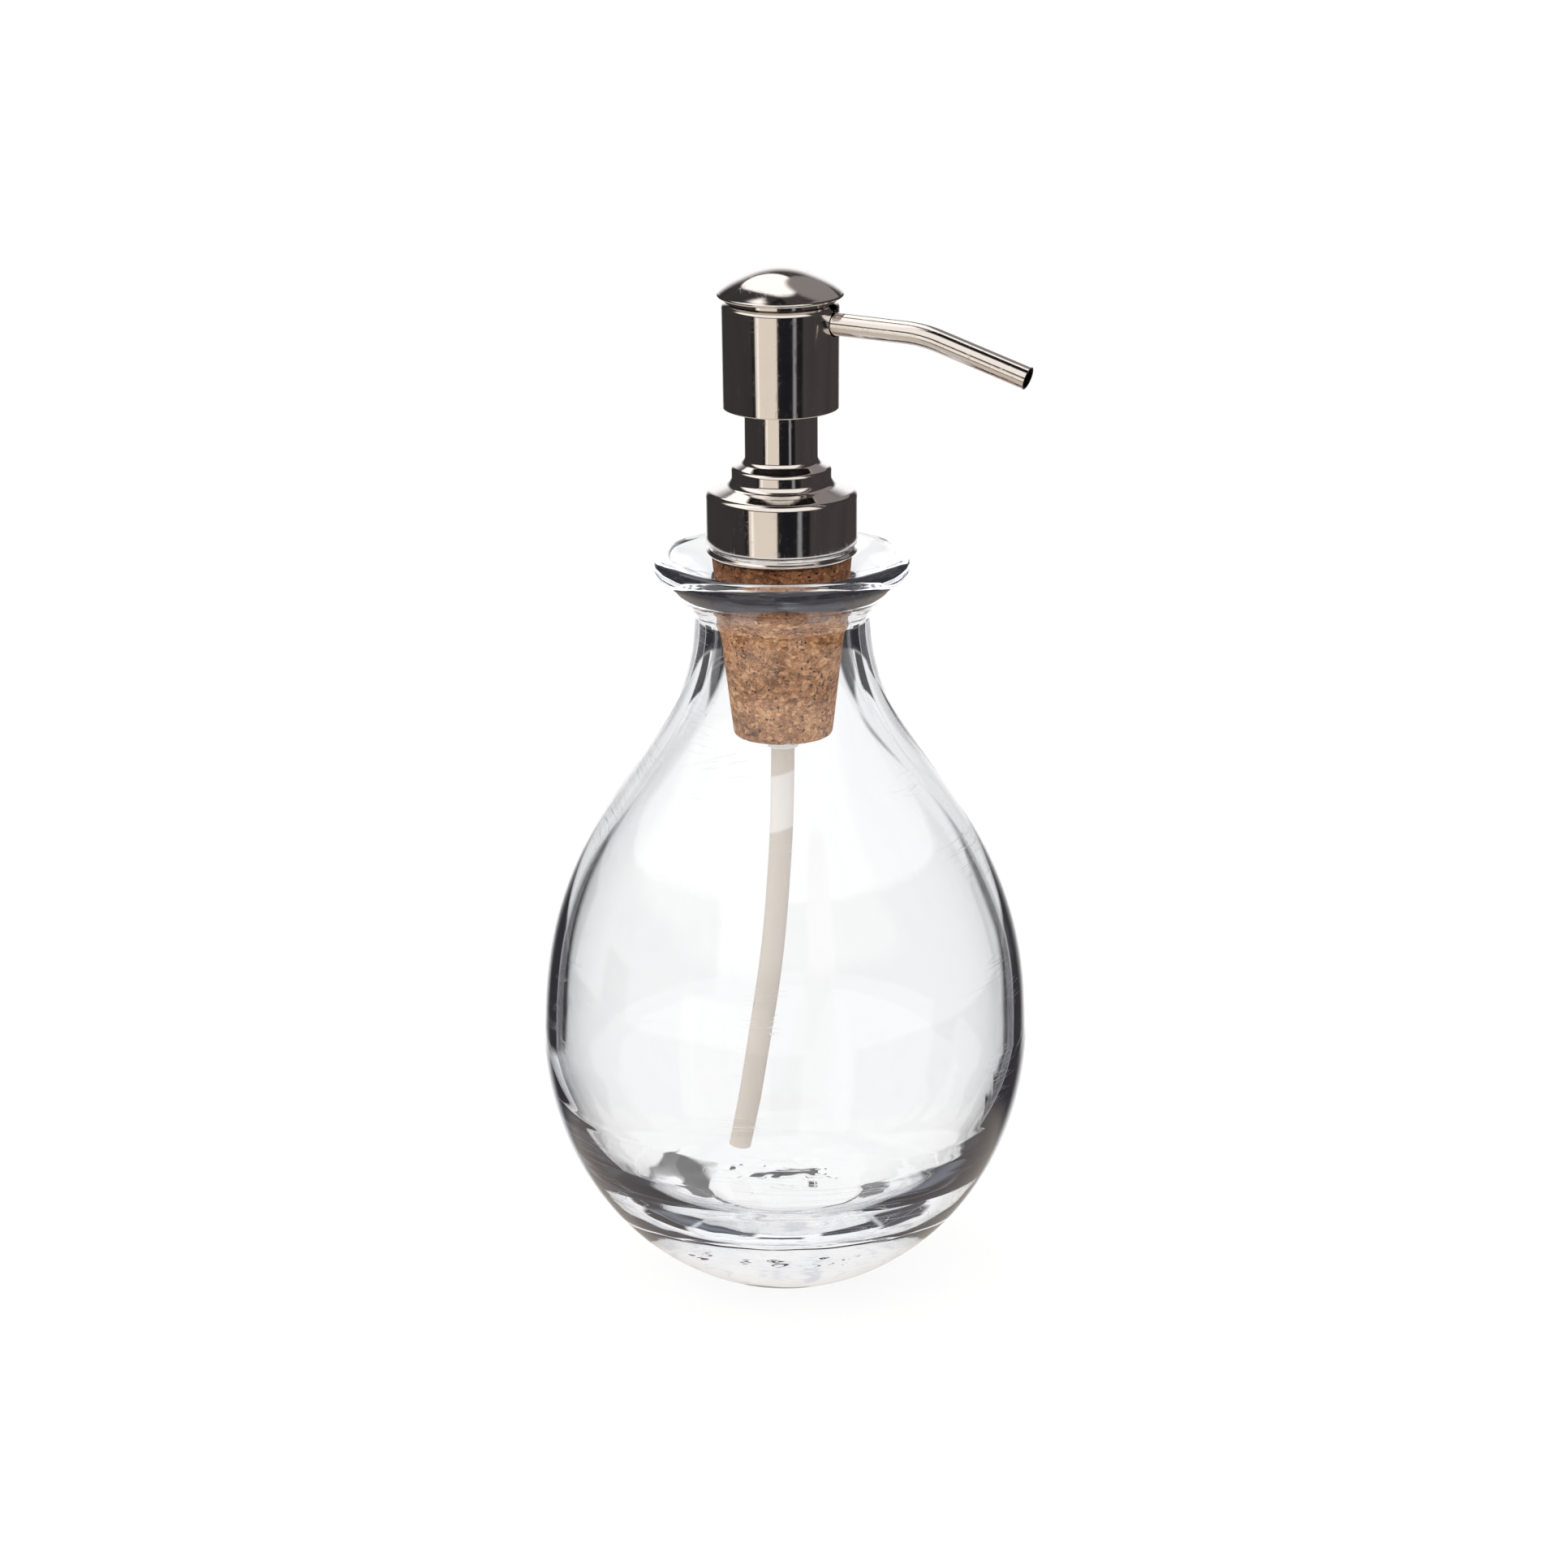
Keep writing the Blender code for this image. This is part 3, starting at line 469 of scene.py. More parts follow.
merged = put(
    lathe, "GeometryNodeMergeByDistance",
    {"Geometry": spun.outputs[0], "Distance": given["Merge Distance"]},
)
finish_tree(lathe, given, merged.outputs[0])
print("lathe:", len(lathe.nodes), "nodes")


# %% Run a tree and keep its result as a plain mesh
SHARP = radians(34)


def grown(name, tree, start_mesh, material, **settings):
    """Runs a tree on a mesh and returns a plain, closed, smooth-shaded object."""
    source = in_scene(name + "_source", start_mesh)
    modifier = source.modifiers.new("nodes", "NODES")
    modifier.node_group = tree
    values = {key.replace("_", " ").title(): value for key, value in settings.items()}
    values["Material"] = material
    for item in tree.interface.items_tree:
        if item.in_out == "INPUT" and item.name in values:
            modifier[item.identifier] = values[item.name]
    bpy.context.view_layer.update()
    seen_as = source.evaluated_get(bpy.context.evaluated_depsgraph_get())
    mesh = bpy.data.meshes.new_from_object(seen_as)
    source.modifiers.remove(modifier)
    bpy.data.objects.remove(source)
    return shown(name, mesh, material)


def shown(name, mesh, material):
    """Closes a mesh, turns its faces outwards, shades it and puts it in the scene."""
    bm = bmesh.new()
    bm.from_mesh(mesh)
    bmesh.ops.remove_doubles(bm, verts=bm.verts, dist=1e-7)
    bmesh.ops.recalc_face_normals(bm, faces=bm.faces)
    bm.to_mesh(mesh)
    bm.free()
    mesh.name = name
    mesh.shade_smooth()
    mesh.set_sharp_from_angle(angle=SHARP)
    mesh.materials.clear()
    mesh.materials.append(material)
    return in_scene(name, mesh)


def turned(name, outline, material, sides=192):
    """Spins an outline in millimetres about Z. One that leaves the axis clear closes on itself."""
    points = [(point[0] * MM, 0, point[1] * MM) for point in outline]
    if outline[0][0] > 0:
        points.append(points[0])
    mesh = bpy.data.meshes.new(name + "_outline")
    mesh.from_pydata(points, [(i, i + 1) for i in range(len(points) - 1)], [])
    made = grown(name, lathe, mesh, material, points=len(points), sides=sides)
    print(f"{name}: {len(made.data.polygons)} faces")
    return made


def on_body(piece, body, slot, *replaced):
    """The piece moves with a body and stands for these nodes. The slot is not used."""
    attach(piece, body)
    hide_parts(*replaced)


# %% [markdown]
# ## Polished steel
#
# The collar, head and spout are stainless steel, drawn and polished. Polish leaves a mirror
# that is still covered in hair-fine scratches, and hands leave faint smudges. A mirror shader
# alone looks like a computer's idea of metal. So the roughness is broken up by a slow smudge,
# thin scratches run in three directions, and a few specks sit on the surface. A scratch is
# made from stretched noise: only where it crosses its middle value is there a line.

# %% Steel
def finish(name):
    """A new material. Returns it with its tree, its Principled shader and Object coordinates."""
    material = bpy.data.materials.new(name)
    material.use_nodes = True
    tree = material.node_tree
    place = put(tree, "ShaderNodeTexCoord").outputs["Object"]
    return material, tree, tree.nodes["Principled BSDF"], place


def noise_at(place, scale, detail=2.0, stretch=(1, 1, 1), turn=(0, 0, 0)):
    """Noise of a scale per metre, on stretched and turned coordinates."""
    tree = place.id_data
    mapped = put(
        tree, "ShaderNodeMapping", {"Vector": place, "Scale": stretch, "Rotation": turn}
    ).outputs[0]
    made = put(tree, "ShaderNodeTexNoise", {"Vector": mapped, "Scale": scale, "Detail": detail})
    return made.outputs["Fac"]


def scratches(place, scale, stretch, turn, width):
    """Hair lines where stretched noise crosses its middle value, kept only here and there."""
    wave = noise_at(place, scale, 1.0, stretch, turn)
    line = calc("ABSOLUTE", minus(wave, 0.5))
    thin = invert(step_at(line, width * 0.3, width))
    where = step_at(noise_at(place, scale * 0.9, 1.0), 0.52, 0.62)
    return times(thin, where)


def add_bump(shader, height, strength, distance, below=None):
    inputs = {"Height": height, "Strength": strength, "Distance": distance}
    if below is not None:
        inputs["Normal"] = below
    tree = shader.id_data
    bump = put(tree, "ShaderNodeBump", inputs).outputs[0]
    tree.links.new(bump, shader.inputs["Normal"])
    return bump


def polished_steel(name, base_roughness=0.07):
    material, tree, shader, place = finish(name)
    smudge = noise_at(place, 130.0, 3.0)
    lines = scratches(place, 420.0, (1, 1, 0.02), (0.03, 0.05, 0), 0.014)
    for stretch, turn, scale in (
        ((0.02, 1, 1), (0, 0.5, 0.7), 520.0), ((1, 0.02, 1), (0.9, 0, -0.5), 560.0)
    ):
        lines = calc("MAXIMUM", lines, scratches(place, scale, stretch, turn, 0.010))
    specks = put(tree, "ShaderNodeTexVoronoi", {"Vector": place, "Scale": 520.0})
    dots = invert(step_at(specks.outputs["Distance"], 0.05, 0.13))
    chosen = put(tree, "ShaderNodeSeparateColor", {0: specks.outputs["Color"]}).outputs[0]
    dots = times(dots, step_at(chosen, 0.72, 0.74))
    marks = calc("MAXIMUM", lines, dots)
    rough = plus(times(smudge, 0.09), base_roughness - 0.03)
    rough = plus(rough, times(marks, 0.12))
    tint = blend_colour(smudge, colour(0.80, 0.77, 0.745), colour(0.86, 0.83, 0.81))
    tree.links.new(tint, shader.inputs["Base Color"])
    tree.links.new(rough, shader.inputs["Roughness"])
    shader.inputs["Metallic"].default_value = 1.0
    drawn = noise_at(place, 240.0, 2.0, (0.25, 0.25, 5.0))
    waves = add_bump(shader, drawn, 0.05, 0.0002)
    add_bump(shader, marks, 0.10, 0.00002, waves)
    return material


steel = polished_steel("polished_steel")
print("steel:", len(steel.node_tree.nodes), "nodes")


# %% [markdown]
# ## Clear glass
#
# Glass bends the room. Principled with full transmission does that, and its index of 1.5 is
# that of soda-lime glass. Real light reaches the cork and the tube through the wall, but a
# path tracer finds such bent paths to a light only by luck, so rays from lamps and from matt
# surfaces go straight through a clear shader. At a glancing angle the wall is seen through
# its thickest part, so a little of the grey of the melt gathers there; this grey is also
# painted shade that darkens the wall's edges.
#
# In the lip and in the heel, light is caught: it bounces along inside the wall many times before
# it gets out. The renderer gives up after four such bounces and leaves black. So a ray that has
# bounced four times gets painted light from the glass, which glows though it is no lamp: pale and
# streaky in the lip, where the light would soon get out, and nearly black in the heel.

# %% Glass
def ramp(value, *stops):
    """A colour ramp through (position, colour) stops."""
    made = put(value.id_data, "ShaderNodeValToRGB", {"Fac": value})
    elements = made.color_ramp.elements
    while len(elements) < len(stops):
        elements.new(0.5)
    for element, (position, tint) in zip(elements, stops):
        element.position = position
        element.color = tint
    return made.outputs["Color"]


glass, glass_tree, glass_shader, glass_place = finish("clear_glass")
glass_shader.inputs["Transmission Weight"].default_value = 1.0
glass_shader.inputs["IOR"].default_value = 1.5
glass_shader.inputs["Roughness"].default_value = 0.0
# Partly painted shade: a grey tint at glancing angles darkens the wall's edges; the thicker glass
# there is also a little greyer.
glancing = put(glass_tree, "ShaderNodeLayerWeight", {"Blend": 0.5}).outputs["Facing"]
edge = window(glancing, 0.55, 0.90, 0.12)
melt_and_edge_shade = blend_colour(edge, colour(0.995, 0.997, 0.998), colour(0.90, 0.905, 0.92))
glass_tree.links.new(melt_and_edge_shade, glass_shader.inputs["Base Color"])
ripple = noise_at(glass_place, 28.0, 1.0, (1, 1, 0.6))
hair = scratches(glass_place, 60.0, (0.4, 0.4, 6), (0.1, 0.1, 0), 0.006)
soft_wave = add_bump(glass_shader, ripple, 0.06, 0.002)
add_bump(glass_shader, hair, 0.15, 0.00004, soft_wave)
glass_height = put(glass_tree, "ShaderNodeSeparateXYZ", {0: glass_place}).outputs["Z"]
# Painted light: as emission, the glass glows pale and streaky in the lip and faintly banded, nearly
# black, in the heel.
streaks = noise_at(glass_place, 300.0, 3.0, (1, 1, 0.22), (0.2, 0.1, 0))
painted_lip_glow = ramp(
    streaks,
    (0.33, colour(0.26, 0.285, 0.37)), (0.43, colour(0.66, 0.69, 0.78)),
    (0.53, colour(0.93, 0.94, 0.98)), (0.66, colour(1.0, 1.0, 1.0)),
)
bands = noise_at(glass_place, 70.0, 2.0, (0.5, 0.5, 3.0))
painted_heel_glow = ramp(
    bands,
    (0.56, colour(0.016, 0.015, 0.018)), (0.66, colour(0.05, 0.055, 0.07)),
    (0.74, colour(0.16, 0.18, 0.22)),
)
NECK_NARROWS = 0.146
near_lip = step_at(glass_height, NECK_NARROWS, NECK_NARROWS + 0.004)
painted_glow = blend_colour(near_lip, painted_heel_glow, painted_lip_glow)
glass_tree.links.new(painted_glow, glass_shader.inputs["Emission Color"])
glass_rays = put(glass_tree, "ShaderNodeLightPath").outputs
BOUNCES_KEPT = 4
caught = calc("GREATER_THAN", glass_rays["Glossy Depth"], BOUNCES_KEPT - 0.5)
glass_tree.links.new(caught, glass_shader.inputs["Emission Strength"])
glass.cycles.emission_sampling = "NONE"
glass_out = glass_tree.nodes["Material Output"]
passing = calc("MAXIMUM", glass_rays["Is Shadow Ray"], glass_rays["Is Diffuse Ray"])
clear = put(glass_tree, "ShaderNodeBsdfTransparent", {"Color": colour(0.955, 0.96, 0.96)})
either = put(glass_tree, "ShaderNodeMixShader", {
    0: passing, 1: glass_shader.outputs[0], 2: clear.outputs[0]
})
glass_tree.links.new(either.outputs[0], glass_out.inputs["Surface"])
print("glass:", len(glass_tree.nodes), "nodes")


# %% [markdown]
# ## The bottle
#
# It is blown thick: a heavy floor, a wall that thins towards the shoulder, and a lip that was
# rounded in the flame. The foot is pushed in a little so that it stands on a ring. The outside
# is a bowl, a shoulder that sweeps up into the neck, and a flare; the inside follows it. A
# hand-made inside is never quite even, and those soft waves are what makes the streaks in a
# thick glass floor, so the inner surface is moved in and out by a smooth noise and the floor
# gets a few shallow dimples.

# %% Bottle outline
BELLY_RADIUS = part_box("glass_bottle")[1].x / MM
RIM_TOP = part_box("glass_bottle")[1].z / MM
BELLY_HEIGHT = 55.0
FOOT_RADIUS = 16.7
FLARE_RISE = 13.3
NECK_HEIGHT = RIM_TOP - FLARE_RISE
GLASS_WALL = 2.6
FLOOR_THICKNESS = 17.0
HEEL_RADIUS = 26.0
HEEL_PULL = 36.0
BORE_RADIUS = 14.25
NECK_RADIUS = BORE_RADIUS + 4.25
RIM_RADIUS = 27.1
RIM_BEAD = 2.5
BORE_RISE = 6.0

foot_turn = degrees(asin(FOOT_RADIUS / BELLY_RADIUS))
bowl_depth = BELLY_HEIGHT / cos(radians(foot_turn))
belly = (0, BELLY_HEIGHT)
shoulder = BELLY_HEIGHT + 0.567 * (NECK_HEIGHT - BELLY_HEIGHT)
nape = NECK_HEIGHT - 0.37 * (NECK_HEIGHT - BELLY_HEIGHT)
inner_radius = BELLY_RADIUS - GLASS_WALL

outside = [Vector((0, 0.9)), Vector((5.0, 0.8)), Vector((10.0, 0.5)), Vector((13.0, 0.12))]
outside += [Vector((14.2, 0.0)), Vector((15.4, 0.0))]
outside += arc(belly, (BELLY_RADIUS, bowl_depth), foot_turn - 89, 0, 44)
outside += curve(
    outside[-1], (BELLY_RADIUS, shoulder), (NECK_RADIUS, nape), (NECK_RADIUS, NECK_HEIGHT), 44
)
bead_centre = (RIM_RADIUS - RIM_BEAD, RIM_TOP - RIM_BEAD)
bead = arc(bead_centre, RIM_BEAD, -45, 125, 16)
outside += curve(
    outside[-1], (NECK_RADIUS, NECK_HEIGHT + RIM_BEAD), bead[0] - Vector((4, 4)), bead[0], 14
)
outside += bead[1:]
entry = Vector((-sin(radians(125)), cos(radians(125)))) * 1.6 * RIM_BEAD
inside = curve(
    bead[-1], bead[-1] + entry, (BORE_RADIUS, NECK_HEIGHT + BORE_RISE + 1.6 * RIM_BEAD),
    (BORE_RADIUS, NECK_HEIGHT + BORE_RISE), 14,
)
inside += [Vector((BORE_RADIUS, NECK_HEIGHT + 3)), Vector((BORE_RADIUS, NECK_HEIGHT))]
inside += curve(
    (BORE_RADIUS, NECK_HEIGHT), (BORE_RADIUS, nape), (inner_radius, shoulder),
    (inner_radius, BELLY_HEIGHT), 40,
)
inside += curve(
    (inner_radius, BELLY_HEIGHT), (inner_radius, HEEL_PULL),
    (HEEL_RADIUS + 11.5, FLOOR_THICKNESS + 1.8), (HEEL_RADIUS, FLOOR_THICKNESS + 1.2), 110,
)
inside += curve(
    inside[-1], (HEEL_RADIUS - 8, FLOOR_THICKNESS + 0.8), (10, FLOOR_THICKNESS),
    (0, FLOOR_THICKNESS), 56,
)
print("bottle outline:", len(outside), "points outside,", len(inside), "inside")

# %% Bottle mesh, with an uneven inner surface
bottle = turned("bottle_glass", outside + inside, glass, sides=256)
rng = np.random.default_rng(7)
# Faint rings in the inner wall: a height in millimetres, and how far each one leans.
RIDGES = ((21.4, 0.6), (25.8, 0.9), (33.6, 1.4), (41.0, -1.6))
RIDGE_DEPTH = 0.022
DIMPLES = 16
DIMPLE_DEPTH = 0.34
dimples = []
for _ in range(DIMPLES):
    turn_at, away = rng.uniform(0, 2 * pi), rng.uniform(3.5, 13.0)
    dimples.append((away * cos(turn_at), away * sin(turn_at), rng.uniform(0.7, 1.5)))


def uneven(spot):
    """How far, in millimetres, the inner surface moves along its normal at a point."""
    away = Vector((spot.x, spot.y)).length
    slow = noise.noise(spot * 0.05 + Vector((3, 1, 7)))
    quick = noise.noise(spot * 0.16 + Vector((9, 4, 2)))
    low = max(0.0, min(1.0, (30 - spot.z) / 14))
    move = 0.10 * slow + low * (0.28 * slow + 0.16 * quick)
    if away > 26 and spot.z < 46:
        for ridge, lean in RIDGES:
            off = (spot.z - ridge - lean * spot.x / 40) / 0.75
            if abs(off) < 3:
                move -= RIDGE_DEPTH * (1 + 2.2 * slow + quick) * exp(-off * off)
    if low > 0 and away < 16:
        move += 0.14 * cos(away * 1.1) * max(0.0, 1 - away / 16)
        for x, y, size in dimples:
            far = ((spot.x - x) ** 2 + (spot.y - y) ** 2) / size**2
            if far < 6:
                move -= DIMPLE_DEPTH * size * exp(-far * 1.6)
    return move


INNER_TOP = NECK_HEIGHT - 12
INNER_FOOT = 8
count = len(bottle.data.vertices)
places = np.empty(count * 3)
bottle.data.vertices.foreach_get("co", places)
places = places.reshape(count, 3)
normals = np.empty(count * 3)
bottle.data.vertex_normals.foreach_get("vector", normals)
normals = normals.reshape(count, 3)
faces_in = (places * normals)[:, :2].sum(axis=1) < 0
on_floor = (normals[:, 2] > 0.5) & (places[:, 2] < 40 * MM)
chosen = np.flatnonzero(
    (faces_in | on_floor) & (places[:, 2] > INNER_FOOT * MM) & (places[:, 2] < INNER_TOP * MM)
)
for vertex in chosen:
    places[vertex] += normals[vertex] * uneven(Vector(places[vertex] / MM)) * MM
lip = np.flatnonzero(places[:, 2] > (NECK_HEIGHT + 4) * MM)
for vertex in lip:
    spot = Vector(places[vertex] / MM)
    wave = noise.noise(Vector((spot.x * 0.25, spot.y * 0.25, spot.z * 0.6)))
    rise = min(1.0, (spot.z - NECK_HEIGHT - 4) / 4)
    places[vertex] -= normals[vertex] * (0.02 + 0.03 * wave) * MM * rise
bottle.data.vertices.foreach_set("co", places.reshape(-1))
bottle.data.update()
on_body(bottle, "bottle", "clear_glass", "glass_bottle")
print("moved", len(chosen), "points of the inner surface and", len(lip), "of the lip")


# %% [markdown]
# ## Cork
#
# The stopper is agglomerated cork: crumbs of bark glued under pressure and turned to a taper.
# Each crumb has its own brown, dark pores run through them, and the surface is pitted where a
# crumb broke out. The colour comes from Voronoi cells, one colour for each cell, stretched a
# little so that they look like crumbs and not like tiles.

# %% Cork finish
cork, cork_tree, cork_shader, cork_place = finish("cork")
warp = put(cork_tree, "ShaderNodeTexNoise", {"Vector": cork_place, "Scale": 420.0, "Detail": 2.0})
shifted = put(cork_tree, "ShaderNodeVectorMath", {
    0: warp.outputs["Color"], 1: (0.5, 0.5, 0.5)
}, operation="SUBTRACT").outputs[0]
shifted = put(
    cork_tree, "ShaderNodeVectorMath", {0: shifted, 1: (0.0016,) * 3}, operation="MULTIPLY"
)
warped = put(cork_tree, "ShaderNodeVectorMath", {0: cork_place, 1: shifted.outputs[0]}).outputs[0]
crumbs = put(cork_tree, "ShaderNodeTexVoronoi", {"Vector": warped, "Scale": 1050.0})
crumb_tone = put(cork_tree, "ShaderNodeSeparateColor", {0: crumbs.outputs["Color"]}).outputs
fine = noise_at(cork_place, 2200.0, 3.0)
patches = noise_at(cork_place, 170.0, 2.0)
flakes = noise_at(warped, 1500.0, 2.0, (0.55, 0.55, 1.5))
tone = plus(times(crumb_tone[0], 0.22), times(fine, 0.30))
tone = plus(tone, times(patches, 0.34))
tone = plus(tone, times(flakes, 0.34))
bark = ramp(
    tone,
    (0.38, colour(0.070, 0.028, 0.013)), (0.49, colour(0.230, 0.098, 0.040)),
    (0.61, colour(0.430, 0.200, 0.090)), (0.78, colour(0.660, 0.375, 0.195)),
)
pores = put(cork_tree, "ShaderNodeTexVoronoi", {"Vector": warped, "Scale": 1300.0})
pore_pick = put(cork_tree, "ShaderNodeSeparateColor", {0: pores.outputs["Color"]}).outputs[1]
pore = invert(step_at(pores.outputs["Distance"], 0.22, 0.42))
pore = times(pore, step_at(pore_pick, 0.80, 0.84))
seams = put(
    cork_tree, "ShaderNodeTexVoronoi", {"Vector": warped, "Scale": 1050.0},
    feature="DISTANCE_TO_EDGE",
).outputs["Distance"]
seam = invert(step_at(seams, 0.0, 0.09))
bark = blend_colour(times(seam, 0.35), bark, colour(0.10, 0.04, 0.018))
bark = blend_colour(pore, bark, colour(0.028, 0.011, 0.006))
cork_height = put(cork_tree, "ShaderNodeSeparateXYZ", {0: cork_place}).outputs["Z"]
# Painted shade: the cork above the glass rim is darkened, for the shadow under the collar.
painted_collar_shade = times(step_at(cork_height, 0.1500, 0.1535), 0.85)
bark = blend_colour(painted_collar_shade, bark, colour(0.36, 0.27, 0.22), "MULTIPLY")
cork_tree.links.new(bark, cork_shader.inputs["Base Color"])
cork_shader.inputs["Roughness"].default_value = 0.82
cork_shader.inputs["Specular IOR Level"].default_value = 0.25
relief = minus(tone, plus(pore, seam))
add_bump(cork_shader, relief, 0.55, 0.00025)
print("cork:", len(cork_tree.nodes), "nodes")


# %% [markdown]
# ### The cork's surface is real, not only painted
#
# The pits catch light at the silhouette, so they must be in the mesh. A second tree takes the
# turned cork and moves each point in along its normal: a little everywhere by fine noise, and
# deeper in scattered pits. Its inputs are the depths and sizes, so the cork can be made rougher
# or smoother without touching the tree. Sculpting would give one cork; a rule gives any.

# %% Pitting tree
pitting = bpy.data.node_groups.new("pitting", "GeometryNodeTree")
number_inputs(
    pitting, pit_depth=0.0004, pit_size=420.0, grain_depth=0.00012, grain_size=1500.0, seed=3
)
given = put(pitting, "NodeGroupInput").outputs
here = put(pitting, "GeometryNodeInputPosition").outputs[0]
outward = put(pitting, "GeometryNodeInputNormal").outputs[0]
cells = put(
    pitting, "ShaderNodeTexVoronoi",
    {"Vector": here, "W": given["Seed"], "Scale": given["Pit Size"]}, voronoi_dimensions="4D",
)
chosen = put(pitting, "ShaderNodeSeparateXYZ", {0: cells.outputs["Color"]}).outputs["X"]
hole = invert(step_at(cells.outputs["Distance"], 0.15, 0.5))
hole = times(hole, step_at(chosen, 0.72, 0.78))
crumble = put(
    pitting, "ShaderNodeTexNoise",
    {"Vector": here, "W": given["Seed"], "Scale": given["Grain Size"], "Detail": 2.0},
    noise_dimensions="4D",
).outputs["Fac"]
inward = plus(times(hole, given["Pit Depth"]), times(crumble, given["Grain Depth"]))
offset = put(
    pitting, "ShaderNodeVectorMath",
    {0: outward, 3: times(inward, -1.0)}, operation="SCALE",
)
pitted = put(
    pitting, "GeometryNodeSetPosition", {"Geometry": given["Geometry"], "Offset": offset.outputs[0]}
)
finish_tree(pitting, given, pitted.outputs[0])
print("pitting:", len(pitting.nodes), "nodes")

# %% Cork stopper
CORK_BOTTOM, CORK_TOP = (corner.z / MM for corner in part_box("cork_stopper"))
CORK_TOP_RADIUS = 14.9
CORK_BOTTOM_RADIUS = 10.3
BUSH_FIT = 9.0
HOUSING_FIT = 7.5
NIPPLE_FIT = 3.5
BUSH_DEPTH = 13.3
outline = divided(rounded([
    (CORK_BOTTOM_RADIUS, CORK_BOTTOM, 1.5),
    (CORK_TOP_RADIUS, CORK_TOP, 0.6),
    (BUSH_FIT, CORK_TOP),
    (BUSH_FIT, CORK_TOP - BUSH_DEPTH),
    (HOUSING_FIT, CORK_TOP - BUSH_DEPTH),
    (HOUSING_FIT, CORK_BOTTOM + 12.0),
    (NIPPLE_FIT, CORK_BOTTOM + 8.0),
    (NIPPLE_FIT, CORK_BOTTOM),
]), 0.45)
smooth_cork = turned("smooth_cork", outline, cork, sides=224)
stopper = grown("cork_taper", pitting, smooth_cork.data, cork)
bpy.data.objects.remove(smooth_cork)
on_body(stopper, "stopper", "cork", "cork_stopper")
print("cork:", len(stopper.data.polygons), "faces")


# %% [markdown]
# ## Collar
#
# The collar is drawn from one disc of steel: a rolled lip, a groove, a straight side, a sloping
# shoulder, a step and a tall neck that the head slides over. Every corner is a fillet, and
# it is the fillets that catch the soft boxes as thin bright lines.

# %% Collar
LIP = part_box("collar_shell")[0].z / MM
SLEEVE_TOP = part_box("collar_shell")[1].z / MM
COLLAR_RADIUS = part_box("collar_shell")[1].x / MM
COLLAR_WALL = 0.8
SHOULDER = LIP + 13.4
STEP_FOOT = SHOULDER + 1.75
STEP_TOP = SHOULDER + 5.1
SLEEVE_FOOT = STEP_TOP + 1.3
STEP_RADIUS = 10.6
SLEEVE_RADIUS = 7.75
SLEEVE_WALL = 0.7
waist = COLLAR_RADIUS - 0.7
side = LIP + 2.5
collar = turned("steel_collar", rounded([
    (COLLAR_RADIUS - 0.5, LIP, 0.25),
    (COLLAR_RADIUS, LIP + 0.5, 0.25),
    (waist, LIP + 1.15, 0.3),
    (waist, side - 0.7, 0.3),
    (COLLAR_RADIUS, side, 0.5),
    (COLLAR_RADIUS, SHOULDER, 1.7),
    (STEP_RADIUS, STEP_FOOT, 1.9),
    (STEP_RADIUS, STEP_TOP, 1.1),
    (SLEEVE_RADIUS, SLEEVE_FOOT, 1.5),
    (SLEEVE_RADIUS, SLEEVE_TOP, 0.2),
    (SLEEVE_RADIUS - SLEEVE_WALL, SLEEVE_TOP, 0.2),
    (SLEEVE_RADIUS - SLEEVE_WALL, SLEEVE_FOOT - COLLAR_WALL, 0.7),
    (STEP_RADIUS - COLLAR_WALL, STEP_TOP - COLLAR_WALL, 0.4),
    (STEP_RADIUS - COLLAR_WALL, STEP_FOOT - COLLAR_WALL, 1.0),
    (COLLAR_RADIUS - COLLAR_WALL, SHOULDER - COLLAR_WALL, 0.6),
    (COLLAR_RADIUS - COLLAR_WALL, side),
    (waist - COLLAR_WALL, side - 0.8),
    (waist - COLLAR_WALL, LIP),
]), steel)
on_body(collar, "stopper", "polished_steel", "collar_shell")


# %% [markdown]
# ## Head
#
# The head is a second drawn shell. Its top edge turns in, and a keyhole lets the spout out: a
# round hole with a slot up to the edge, so that the shell can be slipped down over the tube.
# The hole and slot are cut with a Boolean, as a punch would. A domed cap closes the top; its
# edge overhangs the shell and leaves a shadow line.

# %% Cut helper
def cut_out(piece, *tools):
    """Takes the tools' shapes out of a piece and keeps the result as a plain mesh."""
    for tool in tools:
        modifier = piece.modifiers.new("punch", "BOOLEAN")
        modifier.operation = "DIFFERENCE"
        modifier.solver = "EXACT"
        modifier.object = tool
    bpy.context.view_layer.update()
    seen_as = piece.evaluated_get(bpy.context.evaluated_depsgraph_get())
    mesh = bpy.data.meshes.new_from_object(seen_as)
    name, material = piece.name, piece.data.materials[0]
    for old in (piece, *tools):
        bpy.data.objects.remove(old)
    return shown(name, mesh, material)


# %% Head shell
SKIRT, SHELL_TOP = (corner.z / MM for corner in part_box("head_shell"))
SKIRT_RADIUS = 12.3
HEAD_TOP_RADIUS = -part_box("head_shell")[0].x / MM
HEAD_WALL = 0.7
MOUTH_LIP = 1.5
SPOUT_RADIUS = 2.45
SPOUT_HEIGHT = SKIRT + 19.0
SPOUT_FALL = radians(1.5)
SPOUT_FIT = SPOUT_RADIUS + 0.3
SLOT_WIDTH = 3.2

